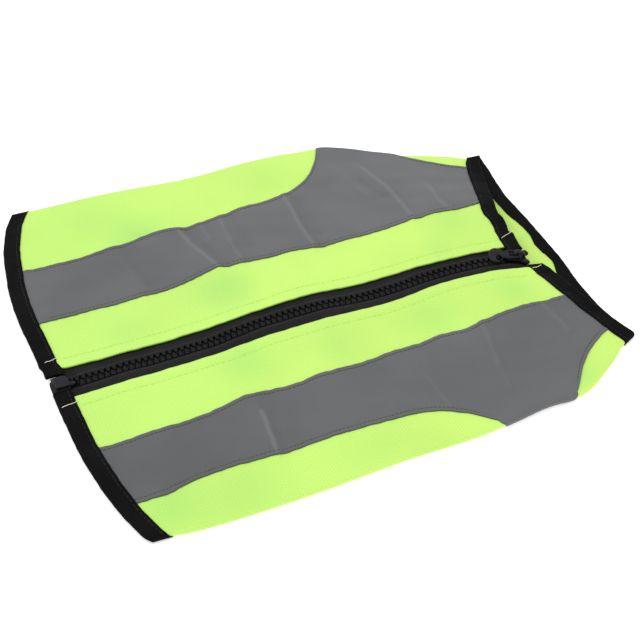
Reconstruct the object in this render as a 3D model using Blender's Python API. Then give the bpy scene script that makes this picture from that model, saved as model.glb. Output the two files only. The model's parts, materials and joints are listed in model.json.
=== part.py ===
"""Dog safety vest, size S, laid flat with its zipped back up.

The vest is a tube of neon mesh. Two side panels meet at the zip, turn round the side folds and are
seamed under the vest to a belly panel with two leg holes. A reflective strip lies on each side panel,
and black tape binds the hem, the neck and the leg holes.

X runs along the zip from hem to neck, Y to the wearer's left and Z up, and the origin is on the
surface that the vest lies on, under its middle. The tables are in millimetres from the hem end of
the zip, and each mesh is turned into metres about the origin when it is made.
"""

import math

import bmesh
import bpy
from mathutils import Matrix, Vector

MM = 0.001
MIDDLE = Vector((130.9, 14.2, 0.0))  # the middle of the vest, from the hem end of the zip

# Thicknesses and gaps
WALL = 1.0  # cloth, strip and zip tape
BINDING_WALL = 1.6  # tape folded over a cut edge
GAP = 0.3  # between pieces that are sewn together
FOLD_RADIUS = 1.1  # of the middle of the cloth round a side fold
FOLD_SHARE = FOLD_RADIUS + WALL / 2  # from a fold's centre to its outside
LOW = WALL / 2  # height of the middle of the cloth where it rests
SEAM_INSET = 12.0  # from a side fold's centre to the belly seam
PANEL_ROWS = 38  # of a side panel, from hem to neck
TAB_ROWS = 9  # of a strip's tab

# Bindings
HEM_WIDTH = 8.8
NECK_WIDTH = 7.9
NECK_UNDER_WIDTH = 6.8
LEG_WIDTH = 6.0

# Zip
CHAIN_HALF = 3.1
CHAIN_WALL = 2.4
TAPE_INNER = CHAIN_HALF + GAP
TAPE_OUTER = 14.5
TAPE_DROP = WALL + GAP  # the tape lies under the panels' edges
BOX_SIZE = (7.7, 9.0, 4.4)
BOX_START = -3.6
BOX_SIDE = 0.6  # how far left of the zip's middle it sits
HEM_ENDS = {"left": 7.2, "right": BOX_SIZE[1] / 2 + GAP}  # from the zip's middle
SLIDER_X = 241.5
SLIDER_LENGTH = 12.0
SLIDER_NOSE_HALF = 5.3
SLIDER_TAIL_HALF = 4.1
NECK_ENDS = {"left": 8.0, "right": SLIDER_NOSE_HALF + 2 * GAP}  # from the zip's middle
SLIDER_PLATE = 1.4
SLIDER_SPACE = 3.2  # between its plates
PIVOT_X = -1.5  # of the pull's bar, from the middle of the slider
BAR_RADIUS = 0.75
ARCH_INNER = 1.8 * BAR_RADIUS  # clears the bar as it turns
ARCH_OUTER = ARCH_INNER + 1.0
ARCH_HALF = 1.2
PULL_WALL = 2 * BAR_RADIUS
PULL_DROOP = math.radians(3.0)
PULL_EYE = 12.0  # from the bar to the middle of the eye
EYE_OUTER = 4.1
EYE_INNER = 1.8
PULL_HALF = 2.7
STEM_HALF = 2.1
SLOT_LENGTH = 2.3  # the opening that the slider's arch passes through
SLOT_HALF = ARCH_HALF + GAP

# Leg holes, in the belly panel
LEG_HOLE_X = 186.0
LEG_HOLE_SIZE = (50.0, 36.0)
LEG_HOLE_Y = {"left": 60.0, "right": -48.0}

# The strips turn under the vest between these places, and lift the cloth above them
TURN = {"left": (183.0, 223.0), "right": (179.3, 219.5)}
TURN_RAMP = 30.0
TURN_LIFT = WALL + GAP
TURN_END = 2.94  # how far across they reach: 3 is the belly seam

SIGN = {"left": 1.0, "right": -1.0}
SIDES = ("left", "right")


def clamp(value, low=0.0, high=1.0):
    return min(max(value, low), high)


def smooth(value):
    """0 to 1 with level ends."""
    share = clamp(value)
    return share * share * (3.0 - 2.0 * share)


def read_between(places, values, place, level_ends=False):
    """The value at a place, on a smooth curve through the values at the places."""
    place = clamp(place, places[0], places[-1])
    last = len(places) - 1
    low = max(k for k in range(last) if places[k] <= place)

    def slope(k):
        if level_ends and k in (0, last):
            return 0.0
        before, after = max(k - 1, 0), min(k + 1, last)
        return (values[after] - values[before]) / (places[after] - places[before])

    span = places[low + 1] - places[low]
    t = (place - places[low]) / span
    rise = values[low + 1] - values[low]
    start, end = slope(low) * span, slope(low + 1) * span
    return values[low] + t * (start + t * (3 * rise - 2 * start - end + t * (start + end - 2 * rise)))


class Table:
    """Rows of a place and the values there, read between the rows by the name of their column."""

    def __init__(self, columns, rows):
        self.places = [row[0] for row in rows]
        self.values = {name: [row[k] for row in rows] for k, name in enumerate(columns)}

    def at(self, place, column):
        return read_between(self.places, self.values[column], place)


# How far each side fold's outside is from the zip's hem end
FOLDS = Table(("x", "left", "right"), [
    (6, 132.8, 102.4), (18, 132.3, 102.9), (34, 131.8, 104.5), (50, 131.5, 105.4),
    (66, 130.5, 105.8), (82, 128.7, 105.8), (98, 126.7, 105.5), (114, 125.9, 104.9),
    (130, 126.7, 104.4), (146, 127.0, 104.6), (162, 125.8, 105.1), (172, 123.8, 105.1),
    (186, 121.9, 103.7), (194, 118.2, 102.7), (202, 113.4, 101.7), (210, 107.6, 101.5),
    (218, 102.5, 102.2), (226, 97.3, 101.1), (234, 93.7, 97.8), (242, 90.4, 92.8),
    (250, 86.6, 87.8), (258, 81.6, 82.4), (268, 80.4, 77.6),
])

# Y of the zip's middle and of the side panels' edges beside it, and the height of the cloth there
ZIP = Table(("x", "middle", "left", "right", "height"), [
    (-8, -2.4, 8.2, -11.6, 3.9), (14, -2.0, 7.3, -11.5, 4.0), (30, -1.4, 6.9, -11.2, 4.1),
    (50, -2.5, 6.1, -12.0, 4.3), (75, -2.7, 6.0, -11.8, 4.8), (88, -2.2, 5.9, -11.5, 5.8),
    (103, -1.4, 6.3, -11.6, 6.6), (128, -1.4, 6.9, -11.8, 6.8), (143, -2.2, 6.2, -11.9, 6.1),
    (158, -3.4, 5.3, -12.6, 5.5), (178, -3.6, 4.7, -12.1, 5.8), (196, -3.3, 4.0, -11.4, 6.8),
    (210, -4.6, 2.6, -12.7, 7.3), (224, -6.1, 1.1, -14.3, 7.4), (236, -8.6, -0.3, -17.2, 7.3),
    (245, -11.6, -1.4, -19.4, 7.0), (256, -15.2, -3.2, -21.2, 6.7),
])

# Heights of the middle of the upper layer, at two places between the zip and each side fold
HEIGHT_PLACES = (0.0, 0.4, 0.75, 1.0)
HEIGHTS = Table(("x", "left_inner", "left_outer", "right_inner", "right_outer"), [
    (-8, 3.4, 3.0, 3.4, 3.0),
    (25, 4.0, 3.4, 3.6, 3.3),
    (50, 3.9, 3.5, 4.0, 3.9),
    (75, 4.4, 4.0, 4.8, 3.9),
    (100, 5.0, 3.9, 5.0, 3.9),
    (125, 5.0, 4.1, 5.4, 4.2),
    (150, 4.4, 4.3, 5.2, 4.1),
    (172, 4.7, 4.4, 5.8, 4.4),
    (195, 6.4, 4.4, 7.1, 4.8),
    (215, 7.2, 4.1, 7.3, 4.5),
    (240, 7.2, 3.6, 7.2, 3.8),
    (270, 6.6, 3.0, 6.6, 3.0),
])

# The largest soft folds of the upper layer: ridges, and hollows with a negative height
SOFT_FOLDS = [
    {"start": (90, 82), "end": (98, 47), "width": 12.0, "height": 2.0},
    {"start": (113, 84), "end": (111, 58), "width": 9.0, "height": 0.7},
    {"start": (149, 86), "end": (148, 46), "width": 9.0, "height": 0.9},
    {"start": (195, 76), "end": (205, 46), "width": 9.0, "height": 1.0},
    {"start": (227, 60), "end": (225, 46), "width": 8.0, "height": 0.7},
    {"start": (68, 96), "end": (72, 86), "width": 12.0, "height": -0.5},
    {"start": (90, 33), "end": (100, 25), "width": 12.0, "height": -0.8},
    {"start": (220, 33), "end": (224, 24), "width": 12.0, "height": -0.5},
    {"start": (81, -57), "end": (80, -78), "width": 9.0, "height": 0.9},
    {"start": (160, -68), "end": (162, -84), "width": 8.0, "height": 0.8},
    {"start": (192, -47), "end": (199, -74), "width": 10.0, "height": 1.1},
    {"start": (84, -20), "end": (92, -26), "width": 11.0, "height": -0.7},
    {"start": (26, -92), "end": (34, -84), "width": 9.0, "height": -0.4},
    {"start": (176, -30), "end": (186, -33), "width": 12.0, "height": -0.8},
]

# Where the cut edges run: X of the outside of their bindings, by Y, over and under the vest
HEM_OVER = Table(("y", "x"), [
    (-104, 12.3), (-98, 9.5), (-86, 5.2), (-74, 2.2), (-62, -0.1), (-50, -1.8), (-38, -2.8),
    (-26, -3.5), (-12, -4.0), (0, -4.5), (14, -5.3), (38, -6.6), (50, -7.0), (62, -6.9),
    (74, -6.0), (86, -4.4), (98, -2.6), (110, 0.4), (122, 4.4), (134, 11.0),
])
HEM_UNDER = Table(("y", "x"), [
    (-104, 12.3), (-90, 20.0), (-60, 34.0), (-20, 43.5), (20, 44.5), (60, 38.0), (96, 25.0),
    (118, 15.5), (134, 11.0),
])
NECK_OVER = Table(("y", "x"), [
    (-77.6, 268.6), (-69, 265.6), (-59, 261.4), (-49, 257.0), (-39, 254.0), (-29, 251.8),
    (-22, 250.4), (-14, 247.6), (0, 246.2), (9, 246.8), (20, 248.5), (32, 250.4),
    (42, 253.4), (54, 257.3), (66, 261.1), (74, 263.8), (81, 267.6),
])
NECK_UNDER = Table(("y", "x"), [
    (-77.6, 268.6), (-66, 266.2), (-54, 264.2), (-42, 263.6), (-30, 263.7), (-18, 264.8),
    (0, 265.0), (18, 264.8), (32, 264.4), (44, 264.0), (56, 265.0), (68, 266.6),
    (81, 267.6),
])

# How far each strip's edges are from the zip's hem end, up to and past where it turns under
STRIP_INNER = Table(("x", "left", "right"), [
    (0, 42.0, 45.6), (12, 41.4, 46.4), (30, 40.6, 46.0), (48, 40.5, 46.4), (66, 40.1, 45.2),
    (78, 41.4, 42.9), (90, 44.0, 44.5), (102, 43.9, 45.4), (114, 42.4, 44.2), (126, 41.6, 44.8),
    (138, 42.0, 45.6), (150, 39.4, 44.3), (168, 39.8, 44.9), (180, 38.4, 43.8), (192, 38.2, 46.0),
    (204, 37.6, 44.0), (216, 38.9, 42.9), (228, 36.6, 42.9), (240, 34.8, 44.1), (262, 32.6, 42.6),
])
STRIP_OUTER_HEM = Table(("x", "left", "right"), [
    (0, 84.4, 82.2), (12, 83.0, 82.4), (24, 81.9, 82.2), (36, 82.6, 80.7), (60, 83.8, 80.1),
    (72, 86.6, 81.0), (82, 85.4, 82.0), (91, 81.4, 81.8), (100, 84.0, 81.5), (112, 85.0, 81.4),
    (124, 87.4, 82.3), (145, 87.2, 83.5), (155, 89.9, 85.8), (165, 95.7, 90.5), (172, 102.4, 95.5),
    (178, 110.8, 101.0), (184, 122.6, 104.0),
])
STRIP_OUTER_NECK = Table(("x", "left", "right"), [
    (214, 104.0, 105.5), (222, 98.2, 99.9), (230, 90.7, 89.8), (238, 84.1, 81.6),
    (246, 78.2, 76.0), (254, 73.2, 71.8), (262, 69.0, 68.6),
])

COLOURS = {
    "neon mesh": (0.52, 1.0, 0.16),
    "reflective grey": (0.16, 0.16, 0.17),
    "black tape": (0.012, 0.012, 0.013),
    "zip tape": (0.02, 0.02, 0.021),
    "moulded plastic": (0.022, 0.022, 0.026),
}


def turn_lift(side, x):
    """How far the strip that turns under the vest lifts the cloth at the fold."""
    start, end = TURN[side]
    return TURN_LIFT * smooth((x - start) / TURN_RAMP + 1.0) * smooth((end - x) / TURN_RAMP + 1.0)


def fold_centre(side, x):
    return FOLDS.at(x, side) - FOLD_SHARE


def soft_folds(x, y):
    """The height that the soft folds add at a place."""
    total = 0.0
    place = Vector((x, y))
    for fold in SOFT_FOLDS:
        start, end = Vector(fold["start"]), Vector(fold["end"])
        along = end - start
        share = clamp((place - start).dot(along) / along.length_squared)
        away = (place - start - share * along).length / fold["width"]
        total += fold["height"] * math.exp(-away * away)
    return total


def skin_y(side, x, across):
    """Y of the middle of the cloth: see skin."""
    sign, centre = SIGN[side], fold_centre(side, x)
    if across <= 1.0:
        edge = ZIP.at(x, side)
        return edge + across * (sign * centre - edge)
    if across <= 2.0:
        return sign * (centre + FOLD_RADIUS * math.sin((across - 1.0) * math.pi))
    return sign * (centre - (across - 2.0) * SEAM_INSET)


def skin(side, x, across):
    """A point on the middle of the cloth. Across is 0 at the zip edge of a side panel, 1 to 2 round
    the side fold and 3 at the belly seam, and goes on under the vest; below 0 it is on the zip."""
    y = skin_y(side, x, across)
    low = LOW + turn_lift(side, x)
    if across > 2.0:
        return Vector((x, y, low))
    if across > 1.0:
        return Vector((x, y, low + FOLD_RADIUS * (1.0 + math.cos((across - 1.0) * math.pi))))
    heights = (
        ZIP.at(x, "height"),
        HEIGHTS.at(x, side + "_inner"),
        HEIGHTS.at(x, side + "_outer"),
        low + 2.0 * FOLD_RADIUS,
    )
    level = read_between(HEIGHT_PLACES, heights, across, level_ends=True)
    fade = smooth((1.0 - across) / (1.0 - HEIGHT_PLACES[2]))
    return Vector((x, y, level + fade * soft_folds(x, y)))


def lifted(side, x, across, lift):
    """A point of the skin moved out of the vest by lift."""
    step = 0.002
    along = skin(side, x + step, across) - skin(side, x - step, across)
    over = skin(side, x, across + step) - skin(side, x, across - step)
    outward = along.cross(over).normalized() * SIGN[side]
    return skin(side, x, across) + lift * outward


def across_at(side, x, y):
    """The place across of a point of the upper layer that is y from the zip's hem end."""
    sign = SIGN[side]
    edge = ZIP.at(x, side)
    return (y - edge) / (sign * fold_centre(side, x) - edge)


def from_zip(side, x, distance):
    """The place across of a point of the upper layer this far from the zip's middle."""
    return across_at(side, x, ZIP.at(x, "middle") + SIGN[side] * distance)


class Edge:
    """A cut edge of the tube: its tables over and under the vest, and which way its binding reaches."""

    def __init__(self, over, under, width, under_width, inward):
        self.over = over
        self.under = under
        self.width = width
        self.under_width = under_width
        self.inward = inward

    def width_at(self, across):
        """The binding's width at a place across."""
        return self.width + (self.under_width - self.width) * smooth(across - 1.5)

    def outside(self, side, across):
        """X of the binding's outer edge."""
        x = self.over.values["x"][0]
        for _ in range(6):
            y = skin_y(side, x, across)
            over, under = self.over.at(y, "x"), self.under.at(y, "x")
            x = over + (under - over) * smooth(across - 1.0)
        return x

    def inside(self, side, across, gap=0.0):
        """X of the binding's inner edge, or of a piece that stops a gap short of it."""
        return self.outside(side, across) + self.inward * (self.width_at(across) + gap)


HEM = Edge(HEM_OVER, HEM_UNDER, HEM_WIDTH, HEM_WIDTH, 1.0)
NECK = Edge(NECK_OVER, NECK_UNDER, NECK_WIDTH, NECK_UNDER_WIDTH, -1.0)


def spread(start, end, count):
    """Places from start to end in count steps."""
    return [start + (end - start) * k / count for k in range(count + 1)]


def material(name, roughness):
    """The plain material of that name."""
    made = bpy.data.materials.get(name) or bpy.data.materials.new(name)
    made.use_nodes = True
    shader = made.node_tree.nodes["Principled BSDF"]
    shader.inputs["Base Color"].default_value = (*COLOURS[name], 1.0)
    shader.inputs["Roughness"].default_value = roughness
    return made


def add_object(name, mesh, finish, roughness):
    """A named object of a finished mesh."""
    made = bpy.data.objects.new(name, mesh)
    mesh.materials.append(material(finish, roughness))
    bpy.context.scene.collection.objects.link(made)
    return made


def walled(name, cells, low, high, finish, roughness):
    """A closed wall between two skins. Cells are the quads of the skins, by the keys of their corners
    in low and high, and a rim is laid along each edge that only one cell has."""
    mesh = bpy.data.meshes.new(name)
    build = bmesh.new()
    points = {}
    for level, skin_points in (("low", low), ("high", high)):
        for key, point in skin_points.items():
            points[level, key] = build.verts.new((point - MIDDLE) * MM)
    edges = {}
    for cell in cells:
        build.faces.new([points["high", key] for key in cell])
        build.faces.new([points["low", key] for key in reversed(cell)])
        for start, end in zip(cell, cell[1:] + cell[:1]):
            if (end, start) in edges:
                del edges[end, start]
            else:
                edges[start, end] = True
    for start, end in edges:
        corners = (("low", start), ("low", end), ("high", end), ("high", start))
        build.faces.new([points[corner] for corner in corners])
    bmesh.ops.recalc_face_normals(build, faces=build.faces)
    build.to_mesh(mesh)
    build.free()
    mesh.shade_smooth()
    mesh.set_sharp_from_angle(angle=math.radians(50))
    return add_object(name, mesh, finish, roughness)


def grid_cells(rows, columns, closed=False):
    """The cells of a grid, by row and column. A closed grid's last row meets its first."""
    cells = []
    for i in range(rows if closed else rows - 1):
        after = (i + 1) % rows
        for j in range(columns - 1):
            cells.append(((i, j), (after, j), (after, j + 1), (i, j + 1)))
    return cells


def make_panel(side):
    """A side panel, from the zip round the side fold to the belly seam."""
    columns = spread(0.0, 1.0, 14) + spread(1.0, 2.0, 5)[1:] + spread(2.0, 3.0, 2)[1:]
    shares = spread(0.0, 1.0, PANEL_ROWS)
    low, high = {}, {}
    for j, across in enumerate(columns):
        start, end = HEM.inside(side, across, GAP), NECK.inside(side, across, GAP)
        for i, share in enumerate(shares):
            x = start + share * (end - start)
            low[i, j] = lifted(side, x, across, -WALL / 2)
            high[i, j] = lifted(side, x, across, WALL / 2)
    cells = grid_cells(len(shares), len(columns))
    walled("panel_" + side, cells, low, high, "neon mesh", 0.7)


def strip_edges(side, x):
    """The places across of a strip's inner and outer edges."""
    sign = SIGN[side]
    inner = across_at(side, x, sign * STRIP_INNER.at(x, side))
    start, end = TURN[side]
    outer_table = STRIP_OUTER_HEM if x < start else STRIP_OUTER_NECK
    if start <= x <= end:
        return inner, 1.0
    return inner, min(across_at(side, x, sign * outer_table.at(x, side)), 0.998)


def make_strip(side):
    """A reflective strip: the panel's own surface, moved out, with a tab that turns round the fold."""
    turn_start, turn_end = TURN[side]
    hem_part = spread(2.0, 140.0, 19) + spread(140.0, turn_start, 8)[1:]
    stations = hem_part + spread(turn_start, turn_end, TAB_ROWS)[1:] + spread(turn_end, 256.0, 6)[1:]
    first_turned = len(hem_part) - 1
    last_turned = first_turned + TAB_ROWS
    lifts = (WALL / 2 + GAP, WALL / 2 + GAP + WALL)
    columns = spread(0.0, 1.0, 7)
    tab = spread(1.0, 2.0, 5)[1:] + [TURN_END]
    low, high = {}, {}

    def place(i, j, x, across):
        at_hem = 1.0 - smooth((x - stations[0]) / 40.0)
        at_neck = smooth((x - stations[-1]) / 36.0 + 1.0)
        x += at_hem * (HEM.inside(side, across, GAP) - stations[0])
        x += at_neck * (NECK.inside(side, across, GAP) - stations[-1])
        low[i, j] = lifted(side, x, across, lifts[0])
        high[i, j] = lifted(side, x, across, lifts[1])

    for i, x in enumerate(stations):
        inner, outer = strip_edges(side, x)
        for j, share in enumerate(columns):
            place(i, j, x, inner + share * (outer - inner))
        if first_turned <= i <= last_turned:
            for j, across in enumerate(tab):
                place(i, len(columns) + j, x, across)
    cells = []
    for i, j in ((i, j) for i in range(len(stations) - 1) for j in range(len(columns) + len(tab) - 1)):
        cell = ((i, j), (i + 1, j), (i + 1, j + 1), (i, j + 1))
        if all(key in low for key in cell):
            cells.append(cell)
    walled("strip_" + side, cells, low, high, "reflective grey", 0.45)


def binding_lifts(across, share):
    """How far a binding's inner and outer skins lie from the cloth's middle, with a round cut edge."""
    half = BINDING_WALL / 2
    rounded = 0.45 if share == 0.0 else 1.0
    under = smooth((across - 1.0) * 2.0)
    outward = half + under * (LOW - half)
    inward = half + smooth((across - 2.0) * 3.0) * (BINDING_WALL - LOW - half)
    middle = (outward - inward) / 2
    thick = rounded * (outward + inward) / 2
    return middle - thick, middle + thick


def under_places(edge, side, start, steps):
    """Places across along an edge, from one under the vest to the middle of the belly."""
    middle = 2.0 + fold_centre(side, edge.outside(side, 2.0)) / SEAM_INSET
    return spread(start, middle, steps)


def make_binding(name, edge, ends, top_steps, under_steps):
    """Tape round a cut edge, from one side of the zip round the belly to the other side."""
    width_shares = (0.0, 0.06, 0.5, 1.0)
    ring = []
    for side in SIDES:
        x = edge.over.at(0.0, "x")
        first = from_zip(side, x, ends[side])
        places = spread(first, 1.0, top_steps) + spread(1.0, 2.0, 5)[1:]
        places += under_places(edge, side, 2.0, under_steps)[1:]
        half_ring = [(side, across) for across in places]
        ring += half_ring if side == "left" else half_ring[-2::-1]
    low, high = {}, {}
    for i, (side, across) in enumerate(ring):
        outside = edge.outside(side, across)
        for j, share in enumerate(width_shares):
            x = outside + edge.inward * edge.width_at(across) * share
            lifts = binding_lifts(across, share)
            low[i, j] = lifted(side, x, across, lifts[0])
            high[i, j] = lifted(side, x, across, lifts[1])
    walled(name, grid_cells(len(ring), len(width_shares)), low, high, "black tape", 0.6)


def make_tape(side):
    """A zip tape: its outer part lies under the side panel's edge."""
    distances = (TAPE_INNER, 5.6, 9.0, TAPE_OUTER)
    low, high = {}, {}
    shares = spread(0.0, 1.0, 34)
    for j, distance in enumerate(distances):
        at_hem, at_neck = from_zip(side, 5.0, distance), from_zip(side, 238.0, distance)
        start, end = HEM.inside(side, at_hem, GAP), NECK.inside(side, at_neck, GAP)
        for i, share in enumerate(shares):
            x = start + share * (end - start)
            across = from_zip(side, x, distance)
            low[i, j] = lifted(side, x, across, -TAPE_DROP - WALL / 2)
            high[i, j] = lifted(side, x, across, -TAPE_DROP + WALL / 2)
    cells = grid_cells(len(shares), len(distances))
    walled("zip_tape_" + side, cells, low, high, "zip tape", 0.8)


def make_chain():
    """The bar that stands for the closed teeth, from the box to the slider's mouth."""
    start, end = BOX_START + BOX_SIZE[0] + GAP, SLIDER_X - SLIDER_LENGTH / 2 + 1.5
    profile = ((-CHAIN_HALF, 0.6), (-2.3, 1.0), (0.0, 1.0), (2.3, 1.0), (CHAIN_HALF, 0.6))
    low, high = {}, {}
    stations = spread(start, end, 34)
    for i, x in enumerate(stations):
        for j, (distance, share) in enumerate(profile):
            side = "left" if distance >= 0.0 else "right"
            across = from_zip(side, x, abs(distance))
            half = share * CHAIN_WALL / 2
            low[i, j] = lifted(side, x, across, -TAPE_DROP - half)
            high[i, j] = lifted(side, x, across, -TAPE_DROP + half)
    cells = grid_cells(len(stations), len(profile))
    walled("zip_chain", cells, low, high, "moulded plastic", 0.4)


def belly_outline():
    """The belly panel's corners, round its seams and edges."""
    seam = 3.0 + GAP / SEAM_INSET
    outline = []
    for side, edges in (("left", (HEM, NECK)), ("right", (NECK, HEM))):
        first, last = edges
        start, end = first.inside(side, seam, GAP), last.inside(side, seam, GAP)
        for edge, places in ((first, under_places(first, side, seam, 15)[:0:-1]),
                             (last, under_places(last, side, seam, 15)[1:-1])):
            line = [(edge.inside(side, across, GAP), across) for across in places]
            if edge is last:
                line = [(x, seam) for x in spread(start, end, PANEL_ROWS)] + line
            outline += [(x, skin_y(side, x, across)) for x, across in line]
    return outline


def cylinder_cutter(name, target, place, size, depth):
    """Cuts an upright elliptical hole through an object."""
    build = bmesh.new()
    bmesh.ops.create_cone(build, cap_ends=True, segments=40, radius1=0.5, radius2=0.5, depth=1.0)
    bmesh.ops.scale(build, vec=(size[0], size[1], depth), verts=build.verts)
    bmesh.ops.translate(build, vec=place, verts=build.verts)
    return add_cutter(name, target, build)


def add_cutter(name, target, build):
    """Cuts the shape being built, which is in the object's own space, out of an object."""
    mesh = bpy.data.meshes.new(name)
    build.to_mesh(mesh)
    build.free()
    cutter = bpy.data.objects.new(name, mesh)
    bpy.context.scene.collection.objects.link(cutter)
    cutter.hide_render = True
    cutter.display_type = "WIRE"
    cutter.matrix_world = target.matrix_world.copy()
    cut = target.modifiers.new(name, "BOOLEAN")
    cut.operation = "DIFFERENCE"
    cut.object = cutter
    return cutter


def extruded(name, outline, low, high, finish, roughness, bevel=0.0):
    """An upright solid on a plan outline, in its object's own space."""
    mesh = bpy.data.meshes.new(name)
    build = bmesh.new()
    face = build.faces.new([build.verts.new((x * MM, y * MM, low * MM)) for x, y in outline])
    raised = bmesh.ops.extrude_face_region(build, geom=[face])["geom"]
    top = [item for item in raised if isinstance(item, bmesh.types.BMVert)]
    bmesh.ops.translate(build, vec=(0.0, 0.0, (high - low) * MM), verts=top)
    if bevel:
        bmesh.ops.bevel(build, geom=build.edges, offset=bevel * MM, segments=2, affect="EDGES",
                        clamp_overlap=True)
    bmesh.ops.recalc_face_normals(build, faces=build.faces)
    build.to_mesh(mesh)
    build.free()
    mesh.shade_smooth()
    mesh.set_sharp_from_angle(angle=math.radians(40))
    return add_object(name, mesh, finish, roughness)


def make_belly():
    """The flat belly panel, with its two leg holes."""
    outline = [(x - MIDDLE.x, y - MIDDLE.y) for x, y in belly_outline()]
    belly = extruded("belly_panel", outline, 0.0, WALL, "neon mesh", 0.7)
    hole = [length + 2 * (LEG_WIDTH + GAP) for length in LEG_HOLE_SIZE]
    for side in SIDES:
        place = (Vector((LEG_HOLE_X, LEG_HOLE_Y[side], 0.0)) - MIDDLE) * MM
        cylinder_cutter("leg_hole_" + side, belly, place, [length * MM for length in hole], 0.01)


def make_leg_binding(side):
    """Tape round a leg hole."""
    low, high = {}, {}
    steps = 40
    columns = ((0.0, 0.5), (0.08, 1.0), (1.0, 1.0))
    for i in range(steps):
        angle = 2.0 * math.pi * i / steps
        for j, (share, thick) in enumerate(columns):
            radii = [length / 2 + LEG_WIDTH * share for length in LEG_HOLE_SIZE]
            x = LEG_HOLE_X + radii[0] * math.cos(angle)
            y = LEG_HOLE_Y[side] + radii[1] * math.sin(angle)
            low[i, j] = Vector((x, y, 0.0))
            high[i, j] = Vector((x, y, BINDING_WALL * thick))
    cells = grid_cells(steps, len(columns), closed=True)
    walled("leg_binding_" + side, cells, low, high, "black tape", 0.6)


def zip_frame(x):
    """The place and turn of a hard piece on the zip: its X along the zip and its Z off the cloth."""
    here, ahead, behind = (lifted("left", x + step, from_zip("left", x + step, 0.0), -TAPE_DROP)
                           for step in (0.0, 4.0, -4.0))
    along = (ahead - behind).normalized()
    across = Vector((0.0, 0.0, 1.0)).cross(along).normalized()
    turn = Matrix((along, across, along.cross(across))).transposed().to_4x4()
    return Matrix.Translation((here - MIDDLE) * MM) @ turn


def make_box():
    """The moulded box at the hem end of the zip."""
    length, width, height = BOX_SIZE
    outline = [
        (-length / 2, -width / 2 + 1.2), (-length / 2 + 1.0, -width / 2), (length / 2, -width / 2),
        (length / 2, width / 2), (-length / 2 + 1.0, width / 2), (-length / 2, width / 2 - 1.2),
    ]
    box = extruded("zip_box", outline, -height / 2, height / 2, "moulded plastic", 0.4, bevel=0.35)
    place = Matrix.Translation((0.0, BOX_SIDE * MM, 0.0))
    box.matrix_world = zip_frame(BOX_START + length / 2) @ place


def make_slider(frame):
    """The slider: two plates joined by a wedge at the nose, with the arch that holds the pull."""
    tail, nose = -SLIDER_LENGTH / 2, SLIDER_LENGTH / 2
    outline = [
        (tail, -SLIDER_TAIL_HALF + 0.8), (tail + 0.8, -SLIDER_TAIL_HALF), (-1.0, -SLIDER_TAIL_HALF),
        (2.2, -SLIDER_NOSE_HALF), (nose - 1.4, -SLIDER_NOSE_HALF), (nose, -SLIDER_NOSE_HALF + 1.6),
        (nose, -2.2), (nose - 2.0, 0.0), (nose, 2.2), (nose, SLIDER_NOSE_HALF - 1.6),
        (nose - 1.4, SLIDER_NOSE_HALF), (2.2, SLIDER_NOSE_HALF), (-1.0, SLIDER_TAIL_HALF),
        (tail + 0.8, SLIDER_TAIL_HALF), (tail, SLIDER_TAIL_HALF - 0.8),
    ]
    half = SLIDER_SPACE / 2 + SLIDER_PLATE
    slider = extruded("zip_slider", outline, -half, half, "moulded plastic", 0.35, bevel=0.3)
    slider.matrix_world = frame
    space = bmesh.new()
    bmesh.ops.create_cube(space, size=MM)
    bmesh.ops.scale(space, vec=(20.0, 20.0, SLIDER_SPACE), verts=space.verts)
    wedge = [(nose - 5.6, 0.0), (nose - 2.0, -1.9), (nose - 1.2, 0.0), (nose - 2.0, 1.9)]
    add_cutter("slider_space", slider, space)
    core = extruded("slider_wedge", wedge, -half + 0.5, half - 0.5, "moulded plastic", 0.35)
    arch = make_arch(half)
    for name, helper in (("wedge", core), ("arch", arch)):
        helper.matrix_world = frame
        helper.hide_render = True
        helper.display_type = "WIRE"
        joined = slider.modifiers.new(name, "BOOLEAN")
        joined.operation = "UNION"
        joined.object = helper


def make_arch(plate_top):
    """The slider's arch, standing in its top plate over the pull's bar."""
    pivot = plate_top + GAP + BAR_RADIUS
    foot = plate_top - 0.4
    angles = spread(0.0, math.pi, 10)
    outer = [(PIVOT_X + ARCH_OUTER * math.cos(a), pivot + ARCH_OUTER * math.sin(a)) for a in angles]
    inner = [(PIVOT_X + ARCH_INNER * math.cos(a), pivot + ARCH_INNER * math.sin(a)) for a in angles]
    outline = [(PIVOT_X + ARCH_OUTER, foot), *outer, (PIVOT_X - ARCH_OUTER, foot)]
    outline += [(PIVOT_X - ARCH_INNER, foot), *inner[::-1], (PIVOT_X + ARCH_INNER, foot)]
    arch = extruded("slider_arch", outline, -ARCH_HALF, ARCH_HALF, "moulded plastic", 0.35)
    arch.data.transform(Matrix.Rotation(math.radians(90), 4, "X"))
    return arch


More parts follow.
